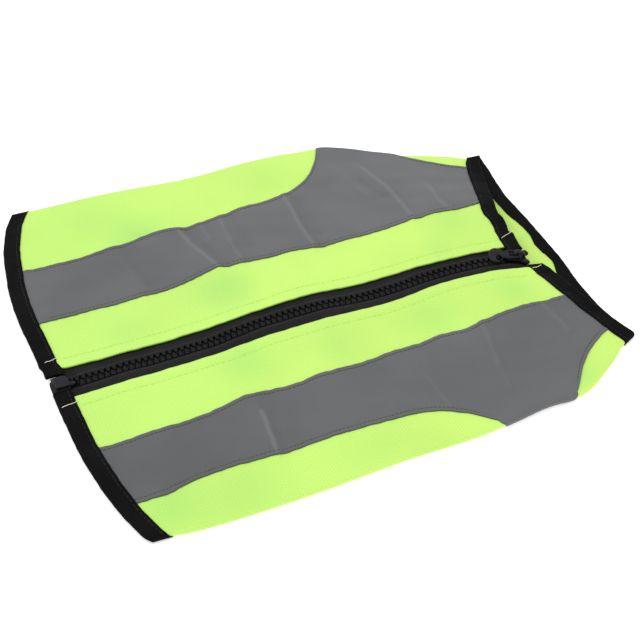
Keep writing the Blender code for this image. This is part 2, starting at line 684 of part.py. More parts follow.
def make_pull(frame):
    """The pull tab, with its origin on the bar that it turns about."""
    eye_angles = spread(math.radians(-145), math.radians(145), 22)
    eye = [(-PULL_EYE - EYE_OUTER * math.cos(a), -EYE_OUTER * math.sin(a)) for a in eye_angles]
    outline = [
        *eye, (-7.0, -STEM_HALF), (-5.0, -STEM_HALF), (-3.6, -PULL_HALF), (0.35, -PULL_HALF),
        (BAR_RADIUS, -PULL_HALF + 0.4), (BAR_RADIUS, PULL_HALF - 0.4), (0.35, PULL_HALF),
        (-3.6, PULL_HALF), (-5.0, STEM_HALF), (-7.0, STEM_HALF),
    ]
    pull = extruded("zip_pull", outline, -PULL_WALL / 2, PULL_WALL / 2, "moulded plastic", 0.35,
                    bevel=0.3)
    height = SLIDER_SPACE / 2 + SLIDER_PLATE + GAP + BAR_RADIUS
    pivot = Matrix.Translation(Vector((PIVOT_X, 0.0, height)) * MM)
    pull.matrix_world = frame @ pivot @ Matrix.Rotation(-PULL_DROOP, 4, "Y")
    size = (2 * EYE_INNER * MM, 2 * EYE_INNER * MM)
    cylinder_cutter("pull_eye", pull, Vector((-PULL_EYE, 0.0, 0.0)) * MM, size, 0.01)
    slot = bmesh.new()
    bmesh.ops.create_cube(slot, size=MM)
    bmesh.ops.scale(slot, vec=(SLOT_LENGTH, 2 * SLOT_HALF, 10.0), verts=slot.verts)
    place = Vector((-BAR_RADIUS - SLOT_LENGTH / 2, 0.0, 0.0)) * MM
    bmesh.ops.translate(slot, vec=place, verts=slot.verts)
    add_cutter("pull_slot", pull, slot)


def main():
    for old in list(bpy.data.objects):
        bpy.data.objects.remove(old)
    for side in SIDES:
        make_panel(side)
        make_strip(side)
        make_tape(side)
        make_leg_binding(side)
    make_belly()
    make_binding("hem_binding", HEM, HEM_ENDS, 22, 16)
    make_binding("neck_binding", NECK, NECK_ENDS, 18, 12)
    make_chain()
    make_box()
    frame = zip_frame(SLIDER_X)
    make_slider(frame)
    make_pull(frame)


main()
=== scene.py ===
"""Dog safety vest, size S, laid flat with its zipped back up: the dressed model.

The vest is a tube of neon mesh. Its cloth follows one skin, worked out from short tables in
millimetres from the hem end of the zip: X runs along the zip from hem to neck, Y to the wearer's
left and Z up. Every piece is laid on that skin, and is turned into metres when its mesh is made.
"""

import json
import logging
import math
from dataclasses import dataclass, field
from enum import Enum
from functools import cache

import bmesh
import bpy
import numpy as np
from mathutils import Matrix, Vector


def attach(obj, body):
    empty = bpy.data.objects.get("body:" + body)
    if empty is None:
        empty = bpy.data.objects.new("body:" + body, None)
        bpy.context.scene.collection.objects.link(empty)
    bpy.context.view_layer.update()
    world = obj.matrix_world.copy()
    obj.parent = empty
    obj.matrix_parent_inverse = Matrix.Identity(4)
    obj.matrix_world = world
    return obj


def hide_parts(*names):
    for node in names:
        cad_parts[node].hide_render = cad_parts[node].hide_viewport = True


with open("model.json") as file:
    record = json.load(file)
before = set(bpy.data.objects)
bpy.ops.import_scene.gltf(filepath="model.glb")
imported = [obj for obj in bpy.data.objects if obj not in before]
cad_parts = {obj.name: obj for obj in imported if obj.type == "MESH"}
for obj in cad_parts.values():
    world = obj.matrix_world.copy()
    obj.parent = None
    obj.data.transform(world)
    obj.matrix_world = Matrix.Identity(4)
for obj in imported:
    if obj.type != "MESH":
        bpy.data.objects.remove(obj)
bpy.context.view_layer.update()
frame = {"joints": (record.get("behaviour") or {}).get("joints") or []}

LOG = logging.getLogger("vest")
MM = 0.001
MIDDLE = np.array((130.9, 14.2, 0.0))  # the middle of the vest, from the hem end of the zip


# ---- Tables and the skin ----


class Side(Enum):
    """The wearer's left or right half of the vest."""

    LEFT = "left"
    RIGHT = "right"

    @property
    def sign(self) -> float:
        """1 towards +Y and -1 towards -Y."""
        return 1.0 if self is Side.LEFT else -1.0


def smooth(value: np.ndarray) -> np.ndarray:
    """0 to 1 with level ends."""
    share = np.clip(value, 0.0, 1.0)
    return share * share * (3.0 - 2.0 * share)


def bell(distance: np.ndarray, width: float) -> np.ndarray:
    """1 at no distance, falling smoothly to nothing past the width."""
    return np.exp(-((distance / width) ** 2))


def read_between(places: np.ndarray, values: np.ndarray, place: np.ndarray,
                 level_ends: bool = False) -> np.ndarray:
    """Values on a smooth curve through known values.

    Args:
        places: where the values are known, in rising order.
        values: one value for each of the places, or a row of them for each place asked.
        place: the places asked.
        level_ends: whether the curve is level at its first and last place.

    Returns:
        The value at each place asked.
    """
    places = np.asarray(places, float)
    place = np.clip(np.asarray(place, float), places[0], places[-1])
    values = np.broadcast_to(np.asarray(values, float), place.shape + (len(places),))
    last = len(places) - 1
    index = np.arange(last + 1)
    before, after = np.maximum(index - 1, 0), np.minimum(index + 1, last)
    slopes = (values[..., after] - values[..., before]) / (places[after] - places[before])
    if level_ends:
        slopes[..., (0, last)] = 0.0
    low = np.clip(np.searchsorted(places, place, side="right") - 1, 0, last - 1)

    def pick(array: np.ndarray, which: np.ndarray) -> np.ndarray:
        """The entry of each row at an index of its own."""
        return np.take_along_axis(array, which[..., None], -1)[..., 0]

    span = places[low + 1] - places[low]
    t = (place - places[low]) / span
    value = pick(values, low)
    rise = pick(values, low + 1) - value
    start, end = pick(slopes, low) * span, pick(slopes, low + 1) * span
    return value + t * (start + t * (3 * rise - 2 * start - end + t * (start + end - 2 * rise)))


@dataclass(frozen=True)
class Table:
    """Rows of a place and the values there, read by the name of their column."""

    columns: tuple[str, ...]
    rows: tuple[tuple[float, ...], ...]

    def at(self, place: np.ndarray, column: str) -> np.ndarray:
        """The column's values at the places."""
        rows = np.array(self.rows)
        return read_between(rows[:, 0], rows[:, self.columns.index(column)], place)


@dataclass(frozen=True)
class Crease:
    """A soft fold of the cloth along a line: a ridge, or a hollow with a negative height. A ridge that
    has a crest is steeper on its neck side."""

    path: tuple[tuple[float, float], ...]
    width: float
    height: float
    crest: float = 0.0

    def away(self, x: np.ndarray, y: np.ndarray) -> np.ndarray:
        """Distance of each place from the fold's line, negative on its hem side.

        Args:
            x: X of the places.
            y: Y of the places.

        Returns:
            The distances.
        """
        best = np.full(np.shape(x), np.inf)
        for start, end in zip(self.path, self.path[1:]):
            along = np.subtract(end, start)
            share = ((x - start[0]) * along[0] + (y - start[1]) * along[1]) / (along @ along)
            share = np.clip(share, 0.0, 1.0)
            off_x, off_y = x - start[0] - share * along[0], y - start[1] - share * along[1]
            reach = np.hypot(off_x, off_y)
            best = np.where(reach < np.abs(best), np.where(off_x < 0.0, -reach, reach), best)
        return best

    def rise(self, x: np.ndarray, y: np.ndarray) -> np.ndarray:
        """The height that the fold adds at each place.

        Args:
            x: X of the places.
            y: Y of the places.

        Returns:
            The heights.
        """
        away = self.away(x, y)
        width = np.where(away > 0.0, 0.62, 1.35) * self.width if self.crest else self.width
        return self.height * bell(away, width) + self.crest * np.exp(-np.abs(away) / 1.3)


FOLDS = Table(("x", "left", "right"), (
    (6, 132.8, 102.4), (18, 132.3, 102.9), (34, 131.8, 104.5), (50, 131.5, 105.4),
    (66, 130.5, 105.8), (82, 128.7, 105.8), (98, 126.7, 105.5), (114, 125.9, 104.9),
    (130, 126.7, 104.4), (146, 127.0, 104.6), (162, 125.8, 105.1), (172, 123.8, 105.1),
    (186, 121.9, 103.7), (194, 118.2, 102.7), (202, 113.4, 101.7), (210, 107.6, 101.5),
    (218, 102.5, 102.2), (226, 97.3, 101.1), (234, 93.7, 97.8), (242, 90.4, 92.8),
    (250, 86.6, 87.8), (258, 81.6, 82.4), (268, 80.4, 77.6),
))
ZIP = Table(("x", "middle", "left", "right", "height"), (
    (-8, -2.4, 9.9, -11.6, 3.9), (3.4, -2.2, 9.5, -11.6, 3.9), (5.4, -2.2, 8.2, -11.5, 3.9),
    (8, -2.1, 7.7, -11.5, 4.0), (14, -2.0, 7.3, -11.5, 4.0), (30, -1.4, 6.9, -11.2, 4.1),
    (50, -2.5, 6.1, -12.0, 4.3), (75, -2.7, 6.0, -11.8, 4.8), (88, -2.2, 5.9, -11.5, 5.8),
    (103, -1.4, 6.3, -11.6, 6.6), (128, -1.4, 6.9, -11.8, 6.8), (143, -2.2, 6.2, -11.9, 6.1),
    (158, -3.4, 5.3, -12.6, 5.5), (178, -3.6, 4.7, -12.1, 5.8), (196, -3.3, 4.0, -11.4, 6.8),
    (210, -4.6, 2.6, -12.7, 7.3), (224, -6.1, 1.1, -14.3, 7.4), (236, -8.6, -0.3, -17.2, 7.3),
    (245, -11.6, -1.4, -19.4, 7.0), (256, -15.2, -3.2, -21.2, 6.7),
))
HEIGHT_PLACES = (0.0, 0.4, 0.75, 1.0)
HEIGHTS = Table(("x", "left_inner", "left_outer", "right_inner", "right_outer"), (
    (-8, 3.4, 3.0, 3.4, 3.0),
    (25, 4.0, 3.4, 3.6, 3.3),
    (50, 3.9, 3.5, 4.0, 3.9),
    (75, 4.4, 4.0, 4.8, 3.9),
    (100, 5.0, 3.9, 5.0, 3.9),
    (125, 5.0, 4.1, 5.4, 4.2),
    (150, 4.4, 4.3, 5.2, 4.1),
    (172, 4.7, 4.4, 5.8, 4.4),
    (195, 6.4, 4.4, 7.1, 4.8),
    (215, 7.2, 4.1, 7.3, 4.5),
    (240, 7.2, 3.6, 7.2, 3.8),
    (270, 6.6, 3.0, 6.6, 3.0),
))
HEM_OVER = Table(("y", "x"), (
    (-104, 12.3), (-98, 9.5), (-86, 5.2), (-74, 2.2), (-62, -0.1), (-50, -1.8),
    (-38, -2.8), (-26, -3.5), (-12, -4.0), (0, -4.4), (5, -4.7), (10.4, -4.6),
    (12.2, -5.4), (20, -5.6), (38, -6.6), (50, -7.0), (62, -6.9), (74, -6.0),
    (86, -4.4), (98, -2.6), (110, 0.4), (122, 4.4), (134, 11.0),
))
HEM_UNDER = Table(("y", "x"), (
    (-104, 12.3), (-90, 20.0), (-60, 34.0), (-20, 43.5), (20, 44.5), (60, 38.0),
    (96, 25.0), (118, 15.5), (134, 11.0),
))
NECK_OVER = Table(("y", "x"), (
    (-77.6, 268.6), (-69, 265.6), (-59, 261.4), (-49, 257.2), (-39, 254.6), (-29, 252.7),
    (-22, 251.2), (-14, 248.7), (-4, 246.1), (0, 246.5), (4, 247.1), (8.4, 247.8),
    (9.8, 246.5), (15, 247.8), (20, 248.6), (25, 248.4), (32, 250.2), (39, 252.6),
    (44, 254.1), (54, 257.3), (66, 261.1), (74, 263.8), (81, 267.6),
))
NECK_UNDER = Table(("y", "x"), (
    (-77.6, 268.6), (-66, 266.2), (-54, 264.2), (-42, 263.6), (-30, 263.7), (-18, 264.8),
    (0, 265.0), (18, 264.8), (32, 264.4), (44, 264.0), (56, 265.0), (68, 266.6),
    (81, 267.6),
))
STRIP_INNER = Table(("x", "left", "right"), (
    (0, 42.0, 45.6), (12, 41.4, 46.4), (30, 40.6, 46.0), (48, 40.5, 46.4), (66, 40.1, 45.2),
    (78, 41.4, 42.9), (90, 44.0, 44.5), (102, 43.9, 45.4), (114, 42.4, 44.2), (126, 41.6, 44.8),
    (138, 42.0, 45.6), (150, 39.4, 44.3), (168, 39.8, 44.9), (180, 38.4, 43.8), (192, 38.2, 46.0),
    (204, 37.6, 44.0), (216, 38.9, 42.9), (228, 36.6, 42.9), (240, 34.8, 44.1), (262, 32.6, 42.6),
))
STRIP_OUTER_HEM = Table(("x", "left", "right"), (
    (0, 84.4, 82.2), (12, 83.0, 82.4), (24, 81.9, 82.2), (36, 82.6, 80.7), (60, 83.8, 80.1),
    (72, 86.6, 81.0), (82, 85.4, 82.0), (91, 82.8, 81.8), (100, 83.8, 81.5), (112, 85.0, 81.4),
    (124, 87.4, 82.3), (145, 87.2, 83.5), (155, 89.9, 85.8), (165, 95.7, 90.5), (172, 102.4, 95.5),
    (178, 110.8, 101.0), (184, 122.6, 104.0),
))
STRIP_OUTER_NECK = Table(("x", "left", "right"), (
    (214, 104.0, 105.5), (222, 98.2, 99.9), (230, 90.7, 89.8), (238, 84.1, 81.6), (246, 78.2, 76.0),
    (254, 73.2, 71.8), (262, 69.0, 68.6),
))
CREASES = (
    Crease(((87, 82), (89.3, 68), (96.8, 44)), 6.5, 1.0, 0.38),
    Crease(((92, 78), (97, 62), (102, 47)), 4.0, -0.6),
    Crease(((99, 82), (100.5, 68)), 3.4, 0.4, 0.1),
    Crease(((110.7, 84), (108.8, 58), (109.6, 46)), 5.0, 0.6, 0.18),
    Crease(((117, 82), (117, 56)), 4.5, -0.35),
    Crease(((128, 88), (130, 60)), 6.0, -0.3),
    Crease(((149, 86), (148.5, 72), (147.5, 58), (148.3, 42)), 5.5, 0.8, 0.36),
    Crease(((155, 82), (154.5, 50)), 3.6, -0.4),
    Crease(((166, 96), (174, 66)), 7.0, -0.4),
    Crease(((185, 96), (191.6, 66)), 5.0, 0.6, 0.08),
    Crease(((194, 84), (198, 64)), 3.6, -0.5),
    Crease(((199, 92), (203.2, 71), (203.8, 60), (204, 40)), 5.0, 0.95, 0.36),
    Crease(((214, 70), (215, 48)), 5.5, -0.5),
    Crease(((225.5, 64), (223.6, 46), (226, 38)), 4.4, 0.6, 0.26),
    Crease(((216, 98), (233, 72)), 6.0, 0.5),
    Crease(((51.5, 82), (53.0, 73), (56.4, 44)), 5.5, 0.7, 0.03),
    Crease(((55.5, 79), (60.5, 46)), 4.2, -0.45),
    Crease(((20, 79), (23, 66)), 5.0, 0.3),
    Crease(((36, 80), (40, 55)), 7.0, -0.25),
    Crease(((72, 88), (80, 54)), 6.0, -0.3),
    Crease(((80.8, -56), (79.7, -69.3), (78.8, -80)), 4.4, 0.6, 0.42),
    Crease(((88.5, -46), (85.7, -61)), 3.0, -0.35),
    Crease(((107, -46), (105, -65)), 3.0, -0.3),
    Crease(((93, -58), (90, -78)), 5.0, -0.3),
    Crease(((40, -60), (44, -80)), 7.0, -0.3),
    Crease(((122, -50), (125, -74)), 8.0, -0.35),
    Crease(((160, -66), (162, -86)), 6.0, 0.6, 0.1),
    Crease(((199.5, -46), (194.6, -72)), 5.0, 0.7, 0.14),
    Crease(((194.1, -68), (193, -86)), 5.0, 0.4, 0.07),
    Crease(((206, -50), (212, -78)), 6.0, -0.45),
    Crease(((233.5, -47), (237, -64)), 4.0, 0.45, 0.16),
    Crease(((68, 96), (72, 86)), 11.0, -0.5),
    Crease(((90, 33), (100, 25)), 11.0, -0.8),
    Crease(((220, 33), (224, 24)), 11.0, -0.5),
    Crease(((84, -20), (92, -26)), 10.0, -0.7),
    Crease(((26, -92), (34, -84)), 9.0, -0.4),
    Crease(((176, -30), (186, -33)), 11.0, -0.8),
    Crease(((50, -92), (66, -94)), 7.0, 0.6),
    Crease(((40, 112), (62, 104)), 8.0, -0.4),
    Crease(((150, -90), (168, -94)), 8.0, -0.4),
)


def ripple(along: np.ndarray, waves: tuple[tuple[float, float], ...]) -> np.ndarray:
    """An uneven ripple from -1 to 1, of waves that have a length and a phase each."""
    return sum(np.sin(along * (2.0 * math.pi / length) + phase) for length, phase in waves) / len(waves)


# Ripples of the sewn and the cut edges (wavelength and phase), and of the cloth (and direction).
SEAM_WAVES = ((5.1, 0.4), (7.7, 2.1), (12.3, 4.0), (21.0, 1.2))
CUT_WAVES = ((6.3, 1.4), (9.1, 0.3), (15.7, 3.3), (29.0, 5.2))
CLOTH_WAVES = ((37.0, 0.5, 0.3), (29.0, 1.9, 1.3), (23.0, 2.7, 4.1), (17.0, 0.1, 2.2), (13.0, 1.2, 5.0))


@dataclass(frozen=True)
class Skin:
    """The middle of the vest's cloth. Across is 0 at the zip edge of a side panel, 1 to 2 round the
    side fold and 3 at the belly seam, and goes on under the vest; below 0 it is on the zip."""

    wall: float = 0.6
    solid_wall: float = 1.0
    slack: float = 0.075
    fold_reach: float = 1.6
    seam_inset: float = 12.0
    turn_lift: float = 0.6
    turn_ramp: float = 30.0
    seam_pucker: float = 0.18
    zip_pucker: float = 0.20
    zip_seam: float = 6.6
    zip_groove: float = 0.10
    zip_swell: float = 0.12
    turns: dict[Side, tuple[float, float]] = field(
        default_factory=lambda: {Side.LEFT: (183.0, 223.0), Side.RIGHT: (179.3, 221.4)})

    @property
    def low(self) -> float:
        """Height of the cloth's middle where it rests."""
        return self.wall / 2

    @property
    def fold_radius(self) -> float:
        """Radius of the cloth's middle round a side fold."""
        return self.fold_reach - self.wall / 2

    def fold_centre(self, side: Side, x: np.ndarray) -> np.ndarray:
        """How far a side fold's centre is from the zip's hem end."""
        return FOLDS.at(x, side.value) - self.fold_reach

    def raised(self, side: Side, x: np.ndarray) -> np.ndarray:
        """How far the strip that turns under the vest lifts the cloth at the fold.

        Args:
            side: the half of the vest.
            x: places along the vest.

        Returns:
            The lift at each place.
        """
        start, end = self.turns[side]
        return (self.turn_lift * smooth((x - start) / self.turn_ramp + 1.0)
                * smooth((end - x) / self.turn_ramp + 1.0))

    def y(self, side: Side, x: np.ndarray, across: np.ndarray) -> np.ndarray:
        """Y of the skin's points.

        Args:
            side: the half of the vest.
            x: places along the vest.
            across: places across it.

        Returns:
            Y of each point.
        """
        sign, centre = side.sign, self.fold_centre(side, x)
        edge = ZIP.at(x, side.value)
        over = edge + across * (sign * centre - edge)
        turn = np.clip(across - 1.0, 0.0, 1.0) * math.pi
        fold = sign * (centre + self.fold_radius * np.sin(turn))
        under = sign * (centre - (across - 2.0) * self.seam_inset)
        return np.where(across <= 1.0, over, np.where(across <= 2.0, fold, under))

    def relief(self, side: Side, x: np.ndarray, y: np.ndarray) -> np.ndarray:
        """The height of the folds, ripples and slack of the upper layer.

        Args:
            side: the half of the vest.
            x: X of the places.
            y: Y of the places.

        Returns:
            The height that they add at each place.
        """
        total = np.zeros_like(x)
        for crease in CREASES:
            total += crease.rise(x, y)
        for length, angle, phase in CLOTH_WAVES:
            along = x * math.cos(angle) + y * math.sin(angle)
            total += self.slack * np.sin(along * 2.0 * math.pi / length + phase)
        reach = side.sign * y
        inner = STRIP_INNER.at(x, side.value)
        outer = np.where(x < self.turns[side][0], STRIP_OUTER_HEM.at(x, side.value), 400.0)
        for seam, shift in ((inner, 0.0), (outer, 31.0)):
            wave = ripple(x + shift + 9.0 * side.sign, SEAM_WAVES)
            total += self.seam_pucker * bell(reach - seam, 3.6) * wave
        beside = reach - side.sign * ZIP.at(x, side.value)
        total += self.zip_pucker * bell(beside, 6.0) * ripple(x + 57.0 * side.sign, CUT_WAVES)
        total -= self.zip_groove * bell(beside - self.zip_seam, 0.8)
        total += self.zip_swell * bell(beside - 3.0, 2.4)
        return total

    def point(self, side: Side, x: np.ndarray, across: np.ndarray) -> np.ndarray:
        """Points of the skin, in millimetres.

        Args:
            side: the half of the vest.
            x: places along the vest.
            across: places across it.

        Returns:
            The points.
        """
        x, across = np.broadcast_arrays(np.asarray(x, float), np.asarray(across, float))
        y = self.y(side, x, across)
        low = self.low + self.raised(side, x)
        turn = np.clip(across - 1.0, 0.0, 1.0) * math.pi
        fold = low + self.fold_radius * (1.0 + np.cos(turn))
        shift = (self.solid_wall - self.wall) / 2
        heights = np.stack((
            ZIP.at(x, "height") + shift,
            HEIGHTS.at(x, side.value + "_inner") + shift,
            HEIGHTS.at(x, side.value + "_outer") + shift,
            low + 2.0 * self.fold_radius,
        ), axis=-1)
        level = read_between(np.array(HEIGHT_PLACES), heights, across, level_ends=True)
        fade = smooth((1.0 - across) / (1.0 - HEIGHT_PLACES[2]))
        over = level + fade * self.relief(side, x, y)
        return np.stack((x, y, np.where(across <= 1.0, over, fold)), axis=-1)

    def lifted(self, side: Side, x: np.ndarray, across: np.ndarray, lift: np.ndarray) -> np.ndarray:
        """Points of the skin moved out of the vest.

        Args:
            side: the half of the vest.
            x: place along the vest.
            across: place across it.
            lift: how far each point moves out.

        Returns:
            The moved points, in millimetres.
        """
        x, across, lift = np.broadcast_arrays(*(np.asarray(a, float) for a in (x, across, lift)))
        step = 0.01
        along = self.point(side, x + step, across) - self.point(side, x - step, across)
        over = self.point(side, x, across + step / 50) - self.point(side, x, across - step / 50)
        outward = np.cross(along, over) * side.sign
        outward /= np.linalg.norm(outward, axis=-1, keepdims=True)
        return self.point(side, x, across) + lift[..., None] * outward

    def across_at(self, side: Side, x: np.ndarray, y: np.ndarray) -> np.ndarray:
        """The place across of points of the upper layer, given their Y."""
        edge = ZIP.at(x, side.value)
        return (y - edge) / (side.sign * self.fold_centre(side, x) - edge)

    def from_zip(self, side: Side, x: np.ndarray, distance: np.ndarray) -> np.ndarray:
        """The place across of points this far from the zip's middle."""
        return self.across_at(side, x, ZIP.at(x, "middle") + side.sign * distance)

    def panel_width(self, side: Side, x: np.ndarray) -> np.ndarray:
        """Distance from a panel's zip edge to the centre of its side fold."""
        return self.fold_centre(side, x) - side.sign * ZIP.at(x, side.value)


SKIN = Skin()


@dataclass(frozen=True)
class Edge:
    """A cut edge of the tube, bound with tape."""

    over: Table
    under: Table
    width: float
    inward: float
    over_widths: Table
    under_widths: Table
    wave: float = 0.16

    def outside(self, side: Side, across: np.ndarray, wavy: bool = True) -> np.ndarray:
        """X of the binding's outer edge at places across.

        Args:
            side: the half of the vest.
            across: the places across.
            wavy: whether the edge has its small waves.

        Returns:
            X at each place.
        """
        across = np.asarray(across, float)
        x = np.full(across.shape, self.over.rows[0][1])
        for _ in range(6):
            y = SKIN.y(side, x, across)
            over, under = self.over.at(y, "x"), self.under.at(y, "x")
            x = over + (under - over) * smooth(across - 1.0)
        if wavy:
            x = x + self.wave * ripple(SKIN.y(side, x, across) + 40.0 * self.inward, CUT_WAVES)
        return x

    def inside(self, side: Side, across: np.ndarray, gap: float = 0.0) -> np.ndarray:
        """X of the binding's inner edge, or of a piece that stops short of it by a gap."""
        return self.outside(side, across) + self.inward * (self.width_at(side, across) + gap)

    def width_at(self, side: Side, across: np.ndarray) -> np.ndarray:
        """The binding's width at places across, which differs under the vest.

        Args:
            side: the half of the vest.
            across: the places across.

        Returns:
            The width at each place.
        """
        across = np.asarray(across, float)
        y = SKIN.y(side, self.outside(side, across, wavy=False), across)
        over, under = self.over_widths.at(y, "width"), self.under_widths.at(y, "width")
        return over + (under - over) * smooth(across - 1.5)


HEM_WIDTHS = Table(("y", "width"), ((-104, 8.8), (134, 8.8)))
NECK_WIDTHS = Table(("y", "width"), (
    (-78, 7.8), (-60, 7.0), (-24, 7.5), (-18, 7.6), (-12, 5.7), (-6, 5.9), (0, 7.2), (4, 6.6),
    (9, 5.6), (14, 5.7), (20, 6.4), (27, 7.7), (44, 7.8), (81, 8.2),
))
NECK_OVER_WIDTHS = Table(("y", "width"), (
    (-78, 7.9), (-49, 8.1), (-39, 8.5), (-14, 9.0), (-4, 8.5), (8.4, 8.8), (9.8, 7.4), (17, 7.6),
    (26, 7.9), (81, 7.9),
))
HEM = Edge(HEM_OVER, HEM_UNDER, 8.8, 1.0, HEM_WIDTHS, HEM_WIDTHS)
NECK = Edge(NECK_OVER, NECK_UNDER, 7.9, -1.0, NECK_OVER_WIDTHS, NECK_WIDTHS)
BINDING_HALF = 0.85  # half the thickness of a bound edge
BINDING_REACH = 7.0  # how far past a binding the cloth slopes to its own level


def binding_drop(across: np.ndarray) -> np.ndarray:
    """How far a binding's middle lies inside the cloth's, so that it rests flush under the vest."""
    return (BINDING_HALF - SKIN.wall / 2) * smooth((np.asarray(across) - 1.0) * 2.0)


# ---- Meshes ----


def spread(start: float, end: float, count: int) -> np.ndarray:
    """Places from start to end in count steps."""
    return start + (end - start) * np.arange(count + 1) / count


def add_object(name: str, data: bpy.types.ID) -> bpy.types.Object:
    """Links a new object to the scene.

    Args:
        name: its name.
        data: its mesh, lamp or camera.

    Returns:
        The new object.
    """
    made = bpy.data.objects.new(name, data)
    bpy.context.scene.collection.objects.link(made)
    return made


def directions(path: list[Vector]) -> list[Vector]:
    """The way that a path runs at each of its points."""
    return [(after - before).normalized() for before, after in zip(path[:1] + path, path[1:] + path[-1:])]


def soften(mesh: bpy.types.Mesh, degrees: float) -> None:
    """Shades a mesh smooth, but for edges sharper than an angle."""
    mesh.shade_smooth()
    mesh.set_sharp_from_angle(angle=math.radians(degrees))


def shell(name: str, outer: np.ndarray, inner: np.ndarray, plan: np.ndarray,
          keep: np.ndarray | None = None, closed: bool = False,
          marks: dict[str, np.ndarray] | None = None, sharp: float = 60.0) -> bpy.types.Object:
    """A closed wall between two grids of points.

    Args:
        name: the object's name.
        outer: the outer points, by row and column, in millimetres.
        inner: the inner points.
        plan: the cloth's own coordinates of each point, in millimetres.
        keep: which cells of the grid are cloth, or all of them.
        closed: whether the last row meets the first.
        marks: named values of each point, for the finish.
        sharp: edges sharper than this angle are shaded sharp.

    Returns:
        The new object.
    """
    rows, columns = outer.shape[:2]
    index = np.arange(rows * columns).reshape(rows, columns)
    after = np.roll(index, -1, axis=0)
    limit = rows if closed else rows - 1
    cells = np.stack((index[:limit, :-1], after[:limit, :-1], after[:limit, 1:], index[:limit, 1:]), -1)
    if keep is not None:
        cells = cells[keep]
    cells = cells.reshape(-1, 4)
    edges = {}
    for cell in cells.tolist():
        for start, end in zip(cell, cell[1:] + cell[:1]):
            if edges.pop((end, start), None) is None:
                edges[start, end] = True
    total = rows * columns
    rims = np.array([(start, end, end + total, start + total) for start, end in edges])
    faces = np.concatenate((cells[:, ::-1], cells + total, rims))
    points = np.concatenate((outer.reshape(-1, 3), inner.reshape(-1, 3)))
    used, faces = np.unique(faces, return_inverse=True)
    faces = faces.reshape(-1, 4)
    points = (points[used] - MIDDLE) * MM
    mesh = bpy.data.meshes.new(name)
    mesh.from_pydata(points.tolist(), [], faces.tolist())
    build = bmesh.new()
    build.from_mesh(mesh)
    bmesh.ops.recalc_face_normals(build, faces=build.faces)
    build.to_mesh(mesh)
    build.free()
    corner = np.zeros(len(mesh.loops), np.int32)
    mesh.loops.foreach_get("vertex_index", corner)
    flat = np.concatenate((plan.reshape(-1, 2), plan.reshape(-1, 2)))[used]
    layer = mesh.uv_layers.new(name="cloth")
    layer.data.foreach_set("uv", (flat[corner] * MM).astype(np.float32).ravel())
    for mark, values in (marks or {}).items():
        both = np.concatenate((values.ravel(), values.ravel()))[used]
        mesh.attributes.new(mark, "FLOAT", "POINT").data.foreach_set("value", both.astype(np.float32))
    soften(mesh, sharp)
    return add_object(name, mesh)


def sheet_cut(points: np.ndarray, keep: np.ndarray | None = None) -> tuple[float, float, float]:
    """The size that a sheet was cut to.

    Args:
        points: the sheet's points, by row and column, in millimetres.
        keep: which cells are cloth, or all of them.

    Returns:
        The cut's width, length and area, in metres and square metres.
    """
    down = np.linalg.norm(np.diff(points, axis=0), axis=-1)
    over = np.linalg.norm(np.diff(points, axis=1), axis=-1)
    first, second = points[1:, 1:] - points[:-1, :-1], points[1:, :-1] - points[:-1, 1:]
    cells = np.linalg.norm(np.cross(first, second), axis=-1) / 2
    if keep is not None:
        cells = cells * keep
        over = over[:-1] * keep
    width, length = over.sum(axis=1).max() * MM, down.sum(axis=0).max() * MM
    return float(width), float(length), float(min(cells.sum() * MM * MM, width * length))


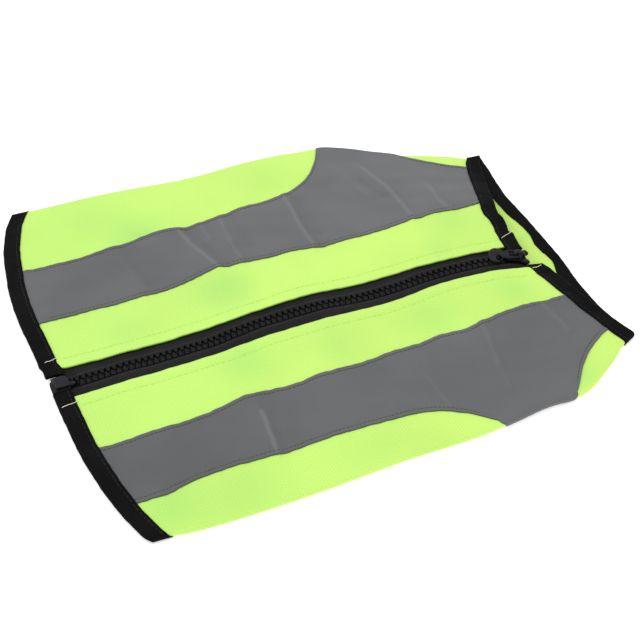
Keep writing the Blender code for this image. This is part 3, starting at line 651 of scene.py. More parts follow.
class Solids:
    """Hard pieces built in their own place, in millimetres, before they are put on the vest."""

    def __init__(self) -> None:
        """Starts with nothing built."""
        self.build = bmesh.new()

    def add_plate(self, outline: list[tuple[float, float]], low: float, high: float, bevel: float,
                  steps: int = 3, turn: Matrix | None = None) -> None:
        """Adds an upright plate on a plan outline, with rounded edges.

        Args:
            outline: its corners in plan.
            low: height of its underside.
            high: height of its top.
            bevel: radius of its edges.
            steps: how many faces round each edge.
            turn: where it goes, from its own place.
        """
        part = bmesh.new()
        face = part.faces.new([part.verts.new((x, y, low)) for x, y in outline])
        raised = bmesh.ops.extrude_face_region(part, geom=[face])["geom"]
        top = [item for item in raised if isinstance(item, bmesh.types.BMVert)]
        bmesh.ops.translate(part, vec=(0.0, 0.0, high - low), verts=top)
        bmesh.ops.recalc_face_normals(part, faces=part.faces)
        if bevel:
            sharp = [edge for edge in part.edges if edge.calc_face_angle(0.0) > math.radians(35)]
            bmesh.ops.bevel(part, geom=sharp, offset=bevel, segments=steps, affect="EDGES",
                            profile=0.5, clamp_overlap=True)
        self.take(part, turn)

    def add_rings(self, rings: list[list[Vector]], closed: bool = False, turn: Matrix | None = None) -> None:
        """Adds the skin over rings of points.

        Args:
            rings: the rings, all of one size.
            closed: whether the last ring meets the first, or else both ends are capped.
            turn: where it goes, from its own place.
        """
        part = bmesh.new()
        made = [[part.verts.new(point) for point in ring] for ring in rings]
        for near, far in zip(made, made[1:] + made[:1] * closed):
            for j, start in enumerate(near):
                after = (j + 1) % len(near)
                part.faces.new((start, near[after], far[after], far[j]))
        if not closed:
            part.faces.new(made[0][::-1])
            part.faces.new(made[-1])
        bmesh.ops.recalc_face_normals(part, faces=part.faces)
        self.take(part, turn)

    def add_tube(self, path: list[Vector], radius: float, sides: int, flat: float = 1.0) -> None:
        """Adds a round bar along a path that runs nearly level.

        Args:
            path: the points of its middle.
            radius: its radius.
            sides: how many faces round it.
            flat: its height as a share of its width.
        """
        rings = []
        for point, along in zip(path, directions(path)):
            over = Vector((0.0, 0.0, 1.0)).cross(along).normalized()
            up = along.cross(over)
            rings.append([point + radius * (math.cos(a) * over + flat * math.sin(a) * up)
                          for a in spread(0.0, 2.0 * math.pi, sides)[:-1]])
        self.add_rings(rings)

    def add_strap(self, path: list[Vector], half_width: float, half_thick: float) -> None:
        """Adds a flat strap with round edges along a path in the XZ plane.

        Args:
            path: the points of its middle.
            half_width: half its size along Y.
            half_thick: half its size across the path.
        """
        turns = [(math.cos(a), math.sin(a)) for a in spread(0.0, 2.0 * math.pi, 16)[:-1]]
        section = [(math.copysign(abs(c) ** 0.45, c) * half_width,
                    math.copysign(abs(s) ** 0.7, s) * half_thick) for c, s in turns]
        rings = []
        for point, along in zip(path, directions(path)):
            out = Vector((-along.z, 0.0, along.x))
            rings.append([point + Vector((0.0, wide, 0.0)) + thick * out for wide, thick in section])
        self.add_rings(rings)

    def add_eye(self, outer: tuple[float, ...], hole: tuple[float, ...], half: float,
                turn: Matrix | None = None) -> None:
        """Adds a rounded eye between two ovals.

        Args:
            outer: the outer oval's centre and its half sizes, along X and Y.
            hole: the same for the hole.
            half: half its thickness.
            turn: where it goes, from its own place.
        """
        section = ((0.0, -0.45), (0.0, 0.45), (0.1, 0.8), (0.32, 1.0), (0.62, 1.0), (0.88, 0.8),
                   (1.0, 0.4), (1.0, -0.4), (0.88, -0.8), (0.62, -1.0), (0.32, -1.0), (0.1, -0.8))
        rings = []
        for angle in spread(0.0, 2.0 * math.pi, 40)[:-1]:
            near, far = (np.array((x + wide * math.cos(angle), y + deep * math.sin(angle)))
                         for x, y, wide, deep in (hole, outer))
            rings.append([Vector((*(near + share * (far - near)), level * half)) for share, level in section])
        self.add_rings(rings, closed=True, turn=turn)

    def take(self, part: bmesh.types.BMesh, turn: Matrix | None) -> None:
        """Joins a finished piece to the rest.

        Args:
            part: the piece, used up here.
            turn: where it goes, or None to leave it in its own place.
        """
        if turn is not None:
            part.transform(turn)
        mesh = bpy.data.meshes.new("part")
        part.to_mesh(mesh)
        part.free()
        self.build.from_mesh(mesh)
        bpy.data.meshes.remove(mesh)

    def placed(self, name: str, place: Matrix, sharp: float = 40.0,
               deep: tuple[float, float] = (-90.0, -80.0)) -> bpy.types.Object:
        """The built solids as one object.

        Args:
            name: the object's name.
            place: the piece's frame, in metres, from its own place in millimetres.
            sharp: edges sharper than this angle are shaded sharp.
            deep: the heights below and above which a surface is wholly and not at all darkened by painted
                shade, as a hollow in shade.

        Returns:
            The new object, with its place in its mesh.
        """
        mesh = bpy.data.meshes.new(name)
        heights = np.array([vert.co.z for vert in self.build.verts])
        # Painted shade: low parts get a deep mark, which the plastic and tape finishes darken in place of the
        # shade in hollows.
        painted_hollow_shade = smooth((deep[1] - heights) / (deep[1] - deep[0])).astype(np.float32)
        self.build.transform(place @ Matrix.Scale(MM, 4))
        self.build.to_mesh(mesh)
        self.build.free()
        mesh.attributes.new("deep", "FLOAT", "POINT").data.foreach_set("value", painted_hollow_shade)
        soften(mesh, sharp)
        return add_object(name, mesh)


# ---- Finishes ----


class NodeTree:
    """A short way to add and join the nodes of a tree."""

    def __init__(self, tree: bpy.types.NodeTree) -> None:
        """Takes the tree to fill."""
        self.tree = tree

    def add(self, kind: str, *inputs: object, **settings: object) -> bpy.types.Node:
        """Adds a node.

        Args:
            kind: the node's type.
            *inputs: what feeds its first sockets: a socket, a value, or None to leave one alone.
            **settings: properties of the node.

        Returns:
            The new node.
        """
        node = self.tree.nodes.new(kind)
        for name, value in settings.items():
            setattr(node, name, value)
        for socket, value in zip(node.inputs, inputs):
            self.feed(socket, value)
        return node

    def feed(self, socket: bpy.types.NodeSocket, value: object) -> None:
        """Joins an output to a socket, or sets the socket's value.

        Args:
            socket: the input.
            value: an output, a value, or None to leave the input alone.
        """
        if isinstance(value, bpy.types.NodeSocket):
            self.tree.links.new(value, socket)
        elif value is not None:
            socket.default_value = value

    def math(self, operation: str, *inputs: object) -> bpy.types.NodeSocket:
        """The result of a sum on numbers."""
        return self.add("ShaderNodeMath", *inputs, operation=operation).outputs[0]

    def ramp(self, value: object, low: float, high: float, start: float = 0.0,
             end: float = 1.0) -> bpy.types.NodeSocket:
        """A value moved smoothly from a range, low to high, to another, start to end."""
        return self.add("ShaderNodeMapRange", value, low, high, start, end,
                        interpolation_type="SMOOTHSTEP").outputs[0]

    def mix(self, share: object, first: object, second: object) -> bpy.types.NodeSocket:
        """A colour between two.

        Args:
            share: how much of the second.
            first: the first colour.
            second: the second colour.

        Returns:
            The mixed colour.
        """
        node = self.add("ShaderNodeMix", data_type="RGBA")
        self.feed(node.inputs["Factor"], share)
        self.feed(node.inputs[6], first)
        self.feed(node.inputs[7], second)
        return node.outputs[2]

    def mark(self, name: str) -> bpy.types.NodeSocket:
        """A named value of the mesh's points."""
        return self.add("ShaderNodeAttribute", attribute_name=name).outputs["Fac"]

    def place(self) -> bpy.types.NodeSocket:
        """The object's own coordinates."""
        return self.add("ShaderNodeTexCoord").outputs["Object"]

    def along(self, axis: int) -> bpy.types.NodeSocket:
        """One of the object's own coordinates."""
        return self.add("ShaderNodeSeparateXYZ", self.place()).outputs[axis]

    def cloth(self) -> bpy.types.NodeSocket:
        """The cloth's own coordinates."""
        return self.add("ShaderNodeUVMap", uv_map="cloth").outputs[0]


def new_group(name: str, inputs: dict[str, object], outputs: tuple[str, ...]) -> tuple[
        NodeTree, dict[str, bpy.types.NodeSocket], dict[str, bpy.types.NodeSocket]]:
    """An empty shader group with named sockets.

    Args:
        name: the group's name.
        inputs: the inputs' names, each with a number, or None for a vector.
        outputs: the outputs' names.

    Returns:
        The group's tree, its inputs as sockets to read, and its outputs as sockets to feed.
    """
    tree = bpy.data.node_groups.new(name, "ShaderNodeTree")
    for label, value in inputs.items():
        kind = "NodeSocketVector" if value is None else "NodeSocketFloat"
        socket = tree.interface.new_socket(label, in_out="INPUT", socket_type=kind)
        if value is not None:
            socket.default_value = value
    for label in outputs:
        tree.interface.new_socket(label, in_out="OUTPUT", socket_type="NodeSocketFloat")
    given, taken = tree.nodes.new("NodeGroupInput"), tree.nodes.new("NodeGroupOutput")
    reads = {label: given.outputs[label] for label in inputs}
    feeds = {label: taken.inputs[label] for label in outputs}
    return NodeTree(tree), reads, feeds


@cache
def rib_group() -> bpy.types.NodeTree:
    """Fine ribs across a tape, and the yarns over them.

    Returns:
        The group.
    """
    tree, given, out = new_group("ribs", {"Vector": None, "Pitch": 0.9, "Turn": 0.0}, ("Height", "Groove"))
    turned = tree.add("ShaderNodeVectorRotate", given["Vector"], rotation_type="Z_AXIS")
    tree.feed(turned.inputs["Angle"], given["Turn"])
    place = tree.add("ShaderNodeSeparateXYZ", turned.outputs[0])
    turns = tree.math("DIVIDE", 2.0 * math.pi / MM, given["Pitch"])
    along = tree.math("COSINE", tree.math("MULTIPLY", place.outputs[0], turns))
    over = tree.math("COSINE", tree.math("MULTIPLY", tree.math("MULTIPLY", place.outputs[1], turns), 1.7))
    height = tree.math("ADD", tree.math("MULTIPLY", along, 0.4), tree.math("MULTIPLY", over, 0.12))
    tree.feed(out["Height"], tree.math("ADD", height, 0.5))
    tree.feed(out["Groove"], tree.ramp(along, -0.2, -1.0))
    return tree.tree


@cache
def knit_group() -> bpy.types.NodeTree:
    """The small holes of a warp-knitted mesh, in rows that are half a hole apart.

    Returns:
        The group.
    """
    tree, given, out = new_group("knit", {"Vector": None, "Pitch": 1.3}, ("Height", "Hole"))
    turns = tree.math("DIVIDE", 2.0 * math.pi / MM, given["Pitch"])
    waves = []
    for way in ((1.0, 0.0, 0.0), (0.5, 0.866, 0.0), (0.5, -0.866, 0.0)):  # 60 degrees apart
        along = tree.add("ShaderNodeVectorMath", given["Vector"], way, operation="DOT_PRODUCT")
        waves.append(tree.math("COSINE", tree.math("MULTIPLY", along.outputs["Value"], turns)))
    total = tree.math("ADD", tree.math("ADD", waves[0], waves[1]), waves[2])
    hole = tree.ramp(total, 0.9, 2.3)
    tree.feed(out["Hole"], hole)
    tree.feed(out["Height"], tree.math("SUBTRACT", 1.0, hole))
    return tree.tree


@cache
def grain_group() -> bpy.types.NodeTree:
    """Fine grain and broad patches, for any surface.

    Returns:
        The group.
    """
    tree, given, out = new_group("grain", {"Vector": None, "Fine": 900.0, "Broad": 22.0}, ("Grain", "Patch"))
    fine = tree.add("ShaderNodeTexNoise", given["Vector"], noise_dimensions="3D")
    tree.feed(fine.inputs["Scale"], given["Fine"])
    broad = tree.add("ShaderNodeTexNoise", given["Vector"], noise_dimensions="3D")
    tree.feed(broad.inputs["Scale"], given["Broad"])
    tree.feed(out["Grain"], fine.outputs[0])
    tree.feed(out["Patch"], tree.ramp(broad.outputs[0], 0.35, 0.65))
    return tree.tree


@dataclass(frozen=True)
class Finish:
    """A finish with its colour and its record slot."""

    name: str
    slot: str
    colour: tuple[float, float, float]
    roughness: float

    def start(self) -> tuple[bpy.types.Material, NodeTree, bpy.types.Node]:
        """A new material with its tree and its shader.

        Returns:
            The material, its tree and its shader.
        """
        made = bpy.data.materials.new(self.name)
        made.use_nodes = True
        tree = NodeTree(made.node_tree)
        shader = made.node_tree.nodes["Principled BSDF"]
        shader.inputs["Roughness"].default_value = self.roughness
        return made, tree, shader

    def tone(self, factor: float) -> tuple[float, float, float, float]:
        """The finish's colour, made lighter or darker."""
        return (*(min(part * factor, 1.0) for part in self.colour), 1.0)

    def group(self, tree: NodeTree, group: bpy.types.NodeTree, vector: bpy.types.NodeSocket,
              **values: float) -> bpy.types.Node:
        """Places a shared effect in a material.

        Args:
            tree: the material's tree.
            group: the effect.
            vector: the coordinates it reads.
            **values: the effect's other inputs, by name in lower case.

        Returns:
            The placed node.
        """
        node = tree.add("ShaderNodeGroup", node_tree=group)
        tree.feed(node.inputs["Vector"], vector)
        for label, value in values.items():
            node.inputs[label.capitalize()].default_value = value
        return node

    def grain(self, tree: NodeTree, fine: float, broad: float) -> bpy.types.Node:
        """Grain and patches in the object's own coordinates."""
        return self.group(tree, grain_group(), tree.place(), fine=fine, broad=broad)

    def bump(self, tree: NodeTree, shader: bpy.types.Node, height: bpy.types.NodeSocket,
             distance: float, strength: float) -> None:
        """Feeds a height to the shader's normal.

        Args:
            tree: the material's tree.
            shader: its shader.
            height: the height, from 0 to 1.
            distance: how high 1 is, in millimetres.
            strength: how strong the effect is.
        """
        node = tree.add("ShaderNodeBump")
        node.inputs["Strength"].default_value = strength
        node.inputs["Distance"].default_value = distance * MM
        tree.feed(node.inputs["Height"], height)
        tree.feed(shader.inputs["Normal"], node.outputs[0])


@dataclass(frozen=True)
class NeonMesh(Finish):
    """Fluorescent warp-knitted mesh: matt, with small holes, painted shade and a painted emission of its own
    that brightens it.
    """

    pitch: float = 1.35
    painted_glow: float = 0.10

    def material(self) -> bpy.types.Material:
        """Builds the finish.

        Returns:
            The material.
        """
        made, tree, shader = self.start()
        knit = self.group(tree, knit_group(), tree.cloth(), pitch=self.pitch)
        grain = self.grain(tree, fine=700.0, broad=16.0)
        base = tree.mix(grain.outputs["Patch"], self.tone(1.005), self.tone(0.945))
        # The colour of painted shade: a deeper, less yellow neon.
        painted_shade_colour = tuple(part * scale for part, scale in zip(self.tone(1.0), (0.64, 0.82, 0.93, 1.0)))
        # Painted shade: the panel's patches of shade, and more of it towards the hem end.
        shade = tree.math("ADD", tree.mark("shade"), tree.ramp(tree.along(0), -0.15, 0.05, 0.2, 0.0))
        base = tree.mix(tree.math("MINIMUM", shade, 1.0), base, painted_shade_colour)
        # Painted shade in the knit's holes, for the shaded layer seen through them.
        base = tree.mix(tree.math("MULTIPLY", knit.outputs["Hole"], 0.42), base, painted_shade_colour)
        # Painted shade along the panel's zip edge, in a deeper green.
        base = tree.mix(tree.mark("edge"), base, (0.055, 0.16, 0.006, 1.0))
        tree.feed(shader.inputs["Base Color"], base)
        # Painted light: the mesh emits its own colour so that it looks brighter, though it is not a lamp.
        tree.feed(shader.inputs["Emission Color"], base)
        shader.inputs["Emission Strength"].default_value = self.painted_glow
        shader.inputs["Sheen Weight"].default_value = 0.12
        shader.inputs["Sheen Roughness"].default_value = 0.5
        shader.inputs["Specular IOR Level"].default_value = 0.25
        height = tree.math("ADD", knit.outputs["Height"],
                           tree.math("MULTIPLY", grain.outputs["Grain"], 0.25))
        self.bump(tree, shader, height, 0.16, 0.45)
        return made


@dataclass(frozen=True)
class ReflectiveCloth(Finish):
    """Grey cloth coated with glass beads: satin, with painted highlights on its creases and painted shade
    beside them, at its edges and towards the hem.
    """

    def material(self) -> bpy.types.Material:
        """Builds the finish.

        Returns:
            The material.
        """
        made, tree, shader = self.start()
        ribs = self.group(tree, rib_group(), tree.cloth(), pitch=0.55, turn=0.6)
        grain = self.grain(tree, fine=1500.0, broad=30.0)
        base = tree.mix(grain.outputs["Patch"], self.tone(1.03), self.tone(0.91))
        speck = tree.ramp(grain.outputs["Grain"], 0.3, 0.7)
        base = tree.mix(tree.math("MULTIPLY", speck, 0.25), base, self.tone(1.18))
        base = tree.mix(tree.math("MULTIPLY", ribs.outputs["Groove"], 0.14), base, self.tone(0.8))
        # Painted shade: darker towards the hem end and along the right side.
        painted_shade_ramp = tree.math("ADD", tree.ramp(tree.along(0), -0.12, 0.05, 0.15, 0.0),
                         tree.ramp(tree.along(1), 0.0, -0.05, 0.0, 0.085))
        base = tree.mix(painted_shade_ramp, base, self.tone(0.0))
        # Painted shade beside each crease's crest and in narrow hollows.
        base = tree.mix(tree.math("MULTIPLY", tree.mark("fold"), 0.6), base, self.tone(0.7))
        # Painted highlight along each crease's crest.
        base = tree.mix(tree.math("MULTIPLY", tree.mark("crease"), 0.6), base, self.tone(1.5))
        # Painted shade along the strip's edges and its stitching.
        base = tree.mix(tree.mark("rim"), base, (0.055, 0.075, 0.045, 1.0))
        tree.feed(shader.inputs["Base Color"], base)
        tree.feed(shader.inputs["Roughness"],
                  tree.ramp(grain.outputs["Grain"], 0.2, 0.8, self.roughness - 0.06, self.roughness + 0.08))
        shader.inputs["Specular IOR Level"].default_value = 0.35
        shader.inputs["Sheen Weight"].default_value = 0.06
        height = tree.math("ADD", tree.math("MULTIPLY", ribs.outputs["Height"], 0.5),
                           tree.math("MULTIPLY", grain.outputs["Grain"], 0.6))
        self.bump(tree, shader, height, 0.05, 0.35)
        return made


@dataclass(frozen=True)
class RibbedTape(Finish):
    """Woven tape with fine ribs across it."""

    pitch: float = 0.85
    relief: float = 0.10
    shine: float = 0.06

    def material(self) -> bpy.types.Material:
        """Builds the finish.

        Returns:
            The material.
        """
        made, tree, shader = self.start()
        ribs = self.group(tree, rib_group(), tree.cloth(), pitch=self.pitch)
        grain = self.grain(tree, fine=1100.0, broad=60.0)
        base = tree.mix(grain.outputs["Patch"], self.tone(1.0), self.tone(1.4))
        base = tree.mix(tree.math("MULTIPLY", ribs.outputs["Groove"], 0.6), base, self.tone(0.45))
        lint = tree.ramp(grain.outputs["Grain"], 0.6, 0.76)
        base = tree.mix(tree.math("MULTIPLY", lint, 0.3), base, self.tone(3.0))
        band = tree.math("MULTIPLY", ribs.outputs["Groove"], tree.mark("band"))
        base = tree.mix(tree.math("MULTIPLY", band, 0.6), base, self.tone(2.2))
        # Painted shade where deep is marked: the colour is darkened and the reflection taken away.
        deep = tree.mark("deep")
        base = tree.mix(deep, base, self.tone(0.3))
        tree.feed(shader.inputs["Base Color"], base)
        tree.feed(shader.inputs["Specular IOR Level"], tree.ramp(deep, 0.0, 1.0, self.shine, 0.0))
        shader.inputs["Sheen Weight"].default_value = 0.02
        shader.inputs["Sheen Roughness"].default_value = 0.4
        height = tree.math("ADD", ribs.outputs["Height"],
                           tree.math("MULTIPLY", grain.outputs["Grain"], 0.4))
        self.bump(tree, shader, height, self.relief, 0.6)
        return made


@dataclass(frozen=True)
class MouldedPlastic(Finish):
    """Moulded acetal, satin, with a faint grain, duller patches and painted shade in its hollows."""

    shine: float = 0.22

    def material(self) -> bpy.types.Material:
        """Builds the finish.

        Returns:
            The material.
        """
        made, tree, shader = self.start()
        grain = self.grain(tree, fine=2600.0, broad=260.0)
        base = tree.mix(grain.outputs["Patch"], self.tone(1.0), self.tone(1.3))
        # Painted shade: where deep is marked, the colour is darkened and most of the reflection is taken
        # away, as in a shaded hollow.
        deep = tree.mark("deep")
        tree.feed(shader.inputs["Base Color"], tree.mix(deep, base, self.tone(0.15)))
        tree.feed(shader.inputs["Roughness"],
                  tree.ramp(grain.outputs["Patch"], 0.0, 1.0, self.roughness, self.roughness + 0.12))
        tree.feed(shader.inputs["Specular IOR Level"], tree.ramp(deep, 0.0, 1.0, self.shine, 0.03))
        self.bump(tree, shader, grain.outputs["Grain"], 0.03, 0.4)
        return made


@dataclass(frozen=True)
class Thread(Finish):
    """Twisted sewing thread."""

    sheen: float = 0.2

    def material(self) -> bpy.types.Material:
        """Builds the finish.

        Returns:
            The material.
        """
        made, tree, shader = self.start()
        grain = self.grain(tree, fine=3200.0, broad=400.0)
        tree.feed(shader.inputs["Base Color"],
                  tree.mix(grain.outputs["Patch"], self.tone(1.0), self.tone(0.8)))
        shader.inputs["Sheen Weight"].default_value = self.sheen
        self.bump(tree, shader, grain.outputs["Grain"], 0.05, 0.5)
        return made


@dataclass(frozen=True)
class PalePaper(Finish):
    """The plain pale surface that the vest lies on."""

    def material(self) -> bpy.types.Material:
        """Builds the finish.

        Returns:
            The material.
        """
        made, tree, shader = self.start()
        grain = self.grain(tree, fine=60.0, broad=3.0)
        tree.feed(shader.inputs["Base Color"],
                  tree.mix(grain.outputs["Patch"], self.tone(1.0), self.tone(0.995)))
        shader.inputs["Specular IOR Level"].default_value = 0.0
        shader.inputs["Emission Color"].default_value = (1.0, 1.0, 1.0, 1.0)
        shader.inputs["Emission Strength"].default_value = 0.34
        return made


NEON = NeonMesh("neon_mesh", "neon_mesh", (0.525, 0.790, 0.155), 0.85)
GREY = ReflectiveCloth("reflective_grey", "reflective_strip", (0.121, 0.123, 0.128), 0.5)
BLACK_TAPE = RibbedTape("black_binding_tape", "black_binding", (0.0046, 0.0044, 0.0048), 0.75,
                        relief=0.1, shine=0.045)
WOVEN_TAPE = RibbedTape("zip_tape_weave", "zip_tape", (0.0125, 0.0125, 0.0132), 0.8, 0.6, 0.07, 0.1)
PLASTIC = MouldedPlastic("zip_plastic", "zip_plastic", (0.0074, 0.0074, 0.0088), 0.38)
TEETH_PLASTIC = MouldedPlastic("zip_teeth_plastic", "zip_plastic", (0.0074, 0.0074, 0.0082), 0.45, 0.11)
NEON_THREAD = Thread("neon_thread", "neon_mesh", (0.52, 0.84, 0.16), 0.7, 0.1)
GREY_THREAD = Thread("grey_thread", "reflective_strip", (0.046, 0.047, 0.05), 0.7, 0.1)
BLACK_THREAD = Thread("black_thread", "black_binding", (0.0054, 0.0054, 0.0060), 0.8, 0.03)
TAPE_YARN = Thread("tape_yarn", "zip_tape", (0.017, 0.017, 0.018), 0.7, 0.05)
WHITE_THREAD = Thread("white_thread", "black_binding", (0.78, 0.86, 0.66), 0.6)
PAPER = PalePaper("pale_paper", "", (0.96, 0.96, 0.96), 0.9)


class Wardrobe:
    """The materials, each made once."""

    def __init__(self) -> None:
        """Starts with none made."""
        self.made: dict[str, bpy.types.Material] = {}

    def dress(self, piece: bpy.types.Object, finish: Finish) -> None:
        """Gives a piece its finish."""
        piece.data.materials.clear()
        piece.data.materials.append(self.material(finish))

    def material(self, finish: Finish) -> bpy.types.Material:
        """The material of a finish, made the first time that it is asked for.

        Args:
            finish: the finish.

        Returns:
            Its material.
        """
        if finish.name not in self.made:
            self.made[finish.name] = finish.material()
        return self.made[finish.name]


WARDROBE = Wardrobe()


def settle(piece: bpy.types.Object, finish: Finish, body: str, *nodes: str) -> None:
    """Dresses a piece, puts it on its body and hides the solids it stands for.

    Args:
        piece: the piece.
        finish: its finish.
        body: the body it moves with.
        *nodes: the solids it stands for.
    """
    WARDROBE.dress(piece, finish)
    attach(piece, body)
    if nodes:
        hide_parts(*nodes)
    LOG.info("%s: %d triangles", piece.name, sum(len(face.vertices) - 2 for face in piece.data.polygons))


class Held(Enum):
    """How a sheet is held."""

    LAID = "laid"
    FOLDED = "folded"


def settle_sheet(piece: bpy.types.Object, finish: Finish, node: str,
                 cut: tuple[float, float, float]) -> None:
    """Settles a piece of cloth on the vest.

    Args:
        piece: the piece.
        finish: its finish.
        node: the solid it stands for.
        cut: the width, length and area that it was cut to; not used.
    """
    settle(piece, finish, "vest", node)


# ---- Cloth ----


@dataclass
class SidePanel:
    """A side panel of neon mesh, from the zip round the side fold to the belly seam."""

    side: Side
    step: float = 1.25
    rows: int = 214
    tuck: float = 1.6
    rounding: float = 0.8
    hem_turn: float = 5.6
    hem_rise: float = 0.16
    # Patches of painted shade: centre X and Y, width and weight.
    shades: tuple[tuple[float, float, float, float], ...] = (
        (68, 87, 15, 0.55), (94, 29, 14, 0.6), (222, 30, 13, 0.32), (86, -22, 13, 0.5),
        (26, -89, 15, 0.5), (180, -31, 15, 0.4), (150, 108, 16, 0.25), (130, -30, 12, 0.3),
        (206, 12, 8, 0.3), (60, -96, 16, 0.3), (120, -94, 18, 0.2), (40, 20, 12, 0.25),
        (50, 108, 20, 0.3), (226, -32, 10, 0.45), (240, 20, 8, 0.12), (230, -92, 9, 0.4),
    )

    def columns(self) -> np.ndarray:
        """Places across, closest at the zip edge and round the fold.

        Returns:
            The places.
        """
        width = SKIN.panel_width(self.side, 120.0)
        near = np.array((0.0, 0.12, 0.35, 0.8, 1.6, 2.6, 3.6, 4.6, 5.4, 6.0, 6.6, 7.2, 8.0))
        count = int((width - near[-1]) / self.step)
        return np.concatenate((near / width, spread(near[-1] / width, 1.0, count)[1:],
                               spread(1.0, 2.0, 10)[1:], spread(2.0, 3.0, 6)[1:]))

    def shade(self, x: np.ndarray, y: np.ndarray, across: np.ndarray, beside: np.ndarray) -> np.ndarray:
        """How much painted shade, in a deeper green, each point has, in hollows and beside the stitched edge.

        Args:
            x: X of the points.
            y: their Y.
            across: their places across.
            beside: their distances from the zip edge.

        Returns:
            The share of the painted shade's colour.
        """
        # Painted shade at the stitching beside the zip edge.
        shade = 0.08 * bell(beside - 6.4, 0.9)
        for centre_x, centre_y, width, weight in self.shades:
            shade += weight * bell(np.hypot(x - centre_x, y - centre_y), width)
        return np.clip(shade * (across < 1.05), 0.0, 1.0)

    def build(self) -> None:
        """Makes the panel."""
        side = self.side
        across = self.columns()
        start, end = HEM.inside(side, across, -self.tuck), NECK.inside(side, across, -self.tuck)
        x = start + spread(0.0, 1.0, self.rows)[:, None] * (end - start)
        across = np.broadcast_to(across, x.shape)
        width = SKIN.panel_width(side, x)
        beside = across * width
        from_ends = np.minimum(x - start, end - x) - self.tuck
        sink = -binding_drop(across) * smooth(1.0 - from_ends / BINDING_REACH)
        rounded = np.sqrt(np.clip(1.0 - (1.0 - beside / self.rounding) ** 2, 0.02, 1.0))
        rounded = np.where(beside < self.rounding, rounded, 1.0)
        folded = self.hem_rise * smooth((self.hem_turn - beside) / 1.2)
        half = (SKIN.wall / 2 + folded) * rounded
        outer = SKIN.lifted(side, x, across, sink + half)
        inner = SKIN.lifted(side, x, across, sink - half)
        plan = np.stack((x, np.where(across < 1.0, beside, width + (across - 1.0) * 4.0)), axis=-1)
        # Painted shade: a thin line of deeper green along the panel's zip edge.
        edge = 0.8 * smooth(1.0 - beside / 0.7) * (across < 1.0)
        marks = {"shade": self.shade(x, SKIN.y(side, x, across), across, beside), "edge": edge}
        piece = shell(f"panel_{side.value}_mesh", outer, inner, plan, marks=marks)
        settle_sheet(piece, NEON, f"panel_{side.value}",
                     sheet_cut(SKIN.point(side, x, across)))


@dataclass
class BellyPanel:
    """The belly panel under the vest, with its two leg holes."""

    hole_x: float = 186.0
    hole_size: tuple[float, float] = (50.0, 36.0)
    hole_y: dict[Side, float] = field(default_factory=lambda: {Side.LEFT: 60.0, Side.RIGHT: -48.0})
    tape: float = 6.0
    seam: float = 12.24
    tuck: float = 1.6
    columns: int = 75
    rows: int = 172
    folds: tuple[Crease, ...] = (
        Crease(((262, 14), (244, 10)), 3.6, 1.1, 0.3), Crease(((262, 34), (250, 30)), 5.0, 0.5))

    def hole_reach(self, x: np.ndarray, y: np.ndarray) -> np.ndarray:
        """How far each point is outside the leg holes, where 1 is the middle of their binding.

        Args:
            x: X of the points.
            y: Y of the points.

        Returns:
            The share of the nearest hole's radius.
        """
        reach = np.full(np.shape(x), 9.0)
        for place in self.hole_y.values():
            radii = [size / 2 + self.tape / 2 for size in self.hole_size]
            reach = np.minimum(reach, np.hypot((x - self.hole_x) / radii[0], (y - place) / radii[1]))
        return reach

    def y_at(self, side: Side, x: np.ndarray, inward: np.ndarray) -> np.ndarray:
        """Y of points of a half, from its seam at 0 to the middle of the vest at 1."""
        return side.sign * (SKIN.fold_centre(side, x) - self.seam) * (1.0 - inward)

    def end_at(self, side: Side, inward: np.ndarray, edge: Edge) -> np.ndarray:
        """X of a half's end, tucked into a binding.

        Args:
            side: the half of the vest.
            inward: places from its seam to the middle of the vest.
            edge: the bound edge at that end.

        Returns:
            The end at each place.
        """
        x = np.full(inward.shape, MIDDLE[0])
        for _ in range(8):
            from_fold = SKIN.fold_centre(side, x) - side.sign * self.y_at(side, x, inward)
            x = edge.inside(side, 2.0 + from_fold / SKIN.seam_inset, -self.tuck)
        return x

    def build(self) -> None:
        """Makes the panel as a grid whose cells in the leg holes are left out."""
        inward = spread(0.0, 1.0, self.columns)
        parts = []
        for side, places in ((Side.LEFT, inward), (Side.RIGHT, inward[::-1])):
            start, end = self.end_at(side, places, HEM), self.end_at(side, places, NECK)
            x = start + spread(0.0, 1.0, self.rows)[:, None] * (end - start)
            parts.append(np.broadcast_arrays(x, self.y_at(side, x, places), start, end))
        x, y, start, end = (np.concatenate((a, b[:, 1:]), axis=1) for a, b in zip(*parts))
        reach = self.hole_reach(x, y)
        pull = np.where((reach < 1.09) & (reach > 0.93), 1.0 / reach, 1.0)
        middle = np.where(y > 6.0, self.hole_y[Side.LEFT], self.hole_y[Side.RIGHT])
        x, y = self.hole_x + (x - self.hole_x) * pull, middle + (y - middle) * pull
        reach = self.hole_reach(x, y)
        corners = np.stack((reach[:-1, :-1], reach[1:, :-1], reach[1:, 1:], reach[:-1, 1:]))
        keep = corners.min(axis=0) > 0.999
        edge = np.minimum(np.minimum(x - start, end - x) - self.tuck, (reach - 1.1) * 22.0)
        level = SKIN.low + (BINDING_HALF - SKIN.low) * smooth(1.0 - edge / BINDING_REACH)
        for crease in self.folds:
            level += crease.rise(x, y) * smooth((end - 8.0 - x) / 4.0 + 0.6)
        points = np.stack((x, y, level), axis=-1)
        half = np.array((0.0, 0.0, SKIN.wall / 2))
        # Painted shade beside the belly's fold near the neck.
        shade = 0.35 * bell(self.folds[0].away(x, y) - 3.0, 2.4)
        piece = shell("belly_mesh", points + half, points - half, np.stack((x, y), axis=-1), keep=keep,
                      marks={"shade": shade})
        settle_sheet(piece, NEON, "belly_panel",
                     (float(np.ptp(y)) * MM, float(np.ptp(x)) * MM, sheet_cut(points, keep)[2]))


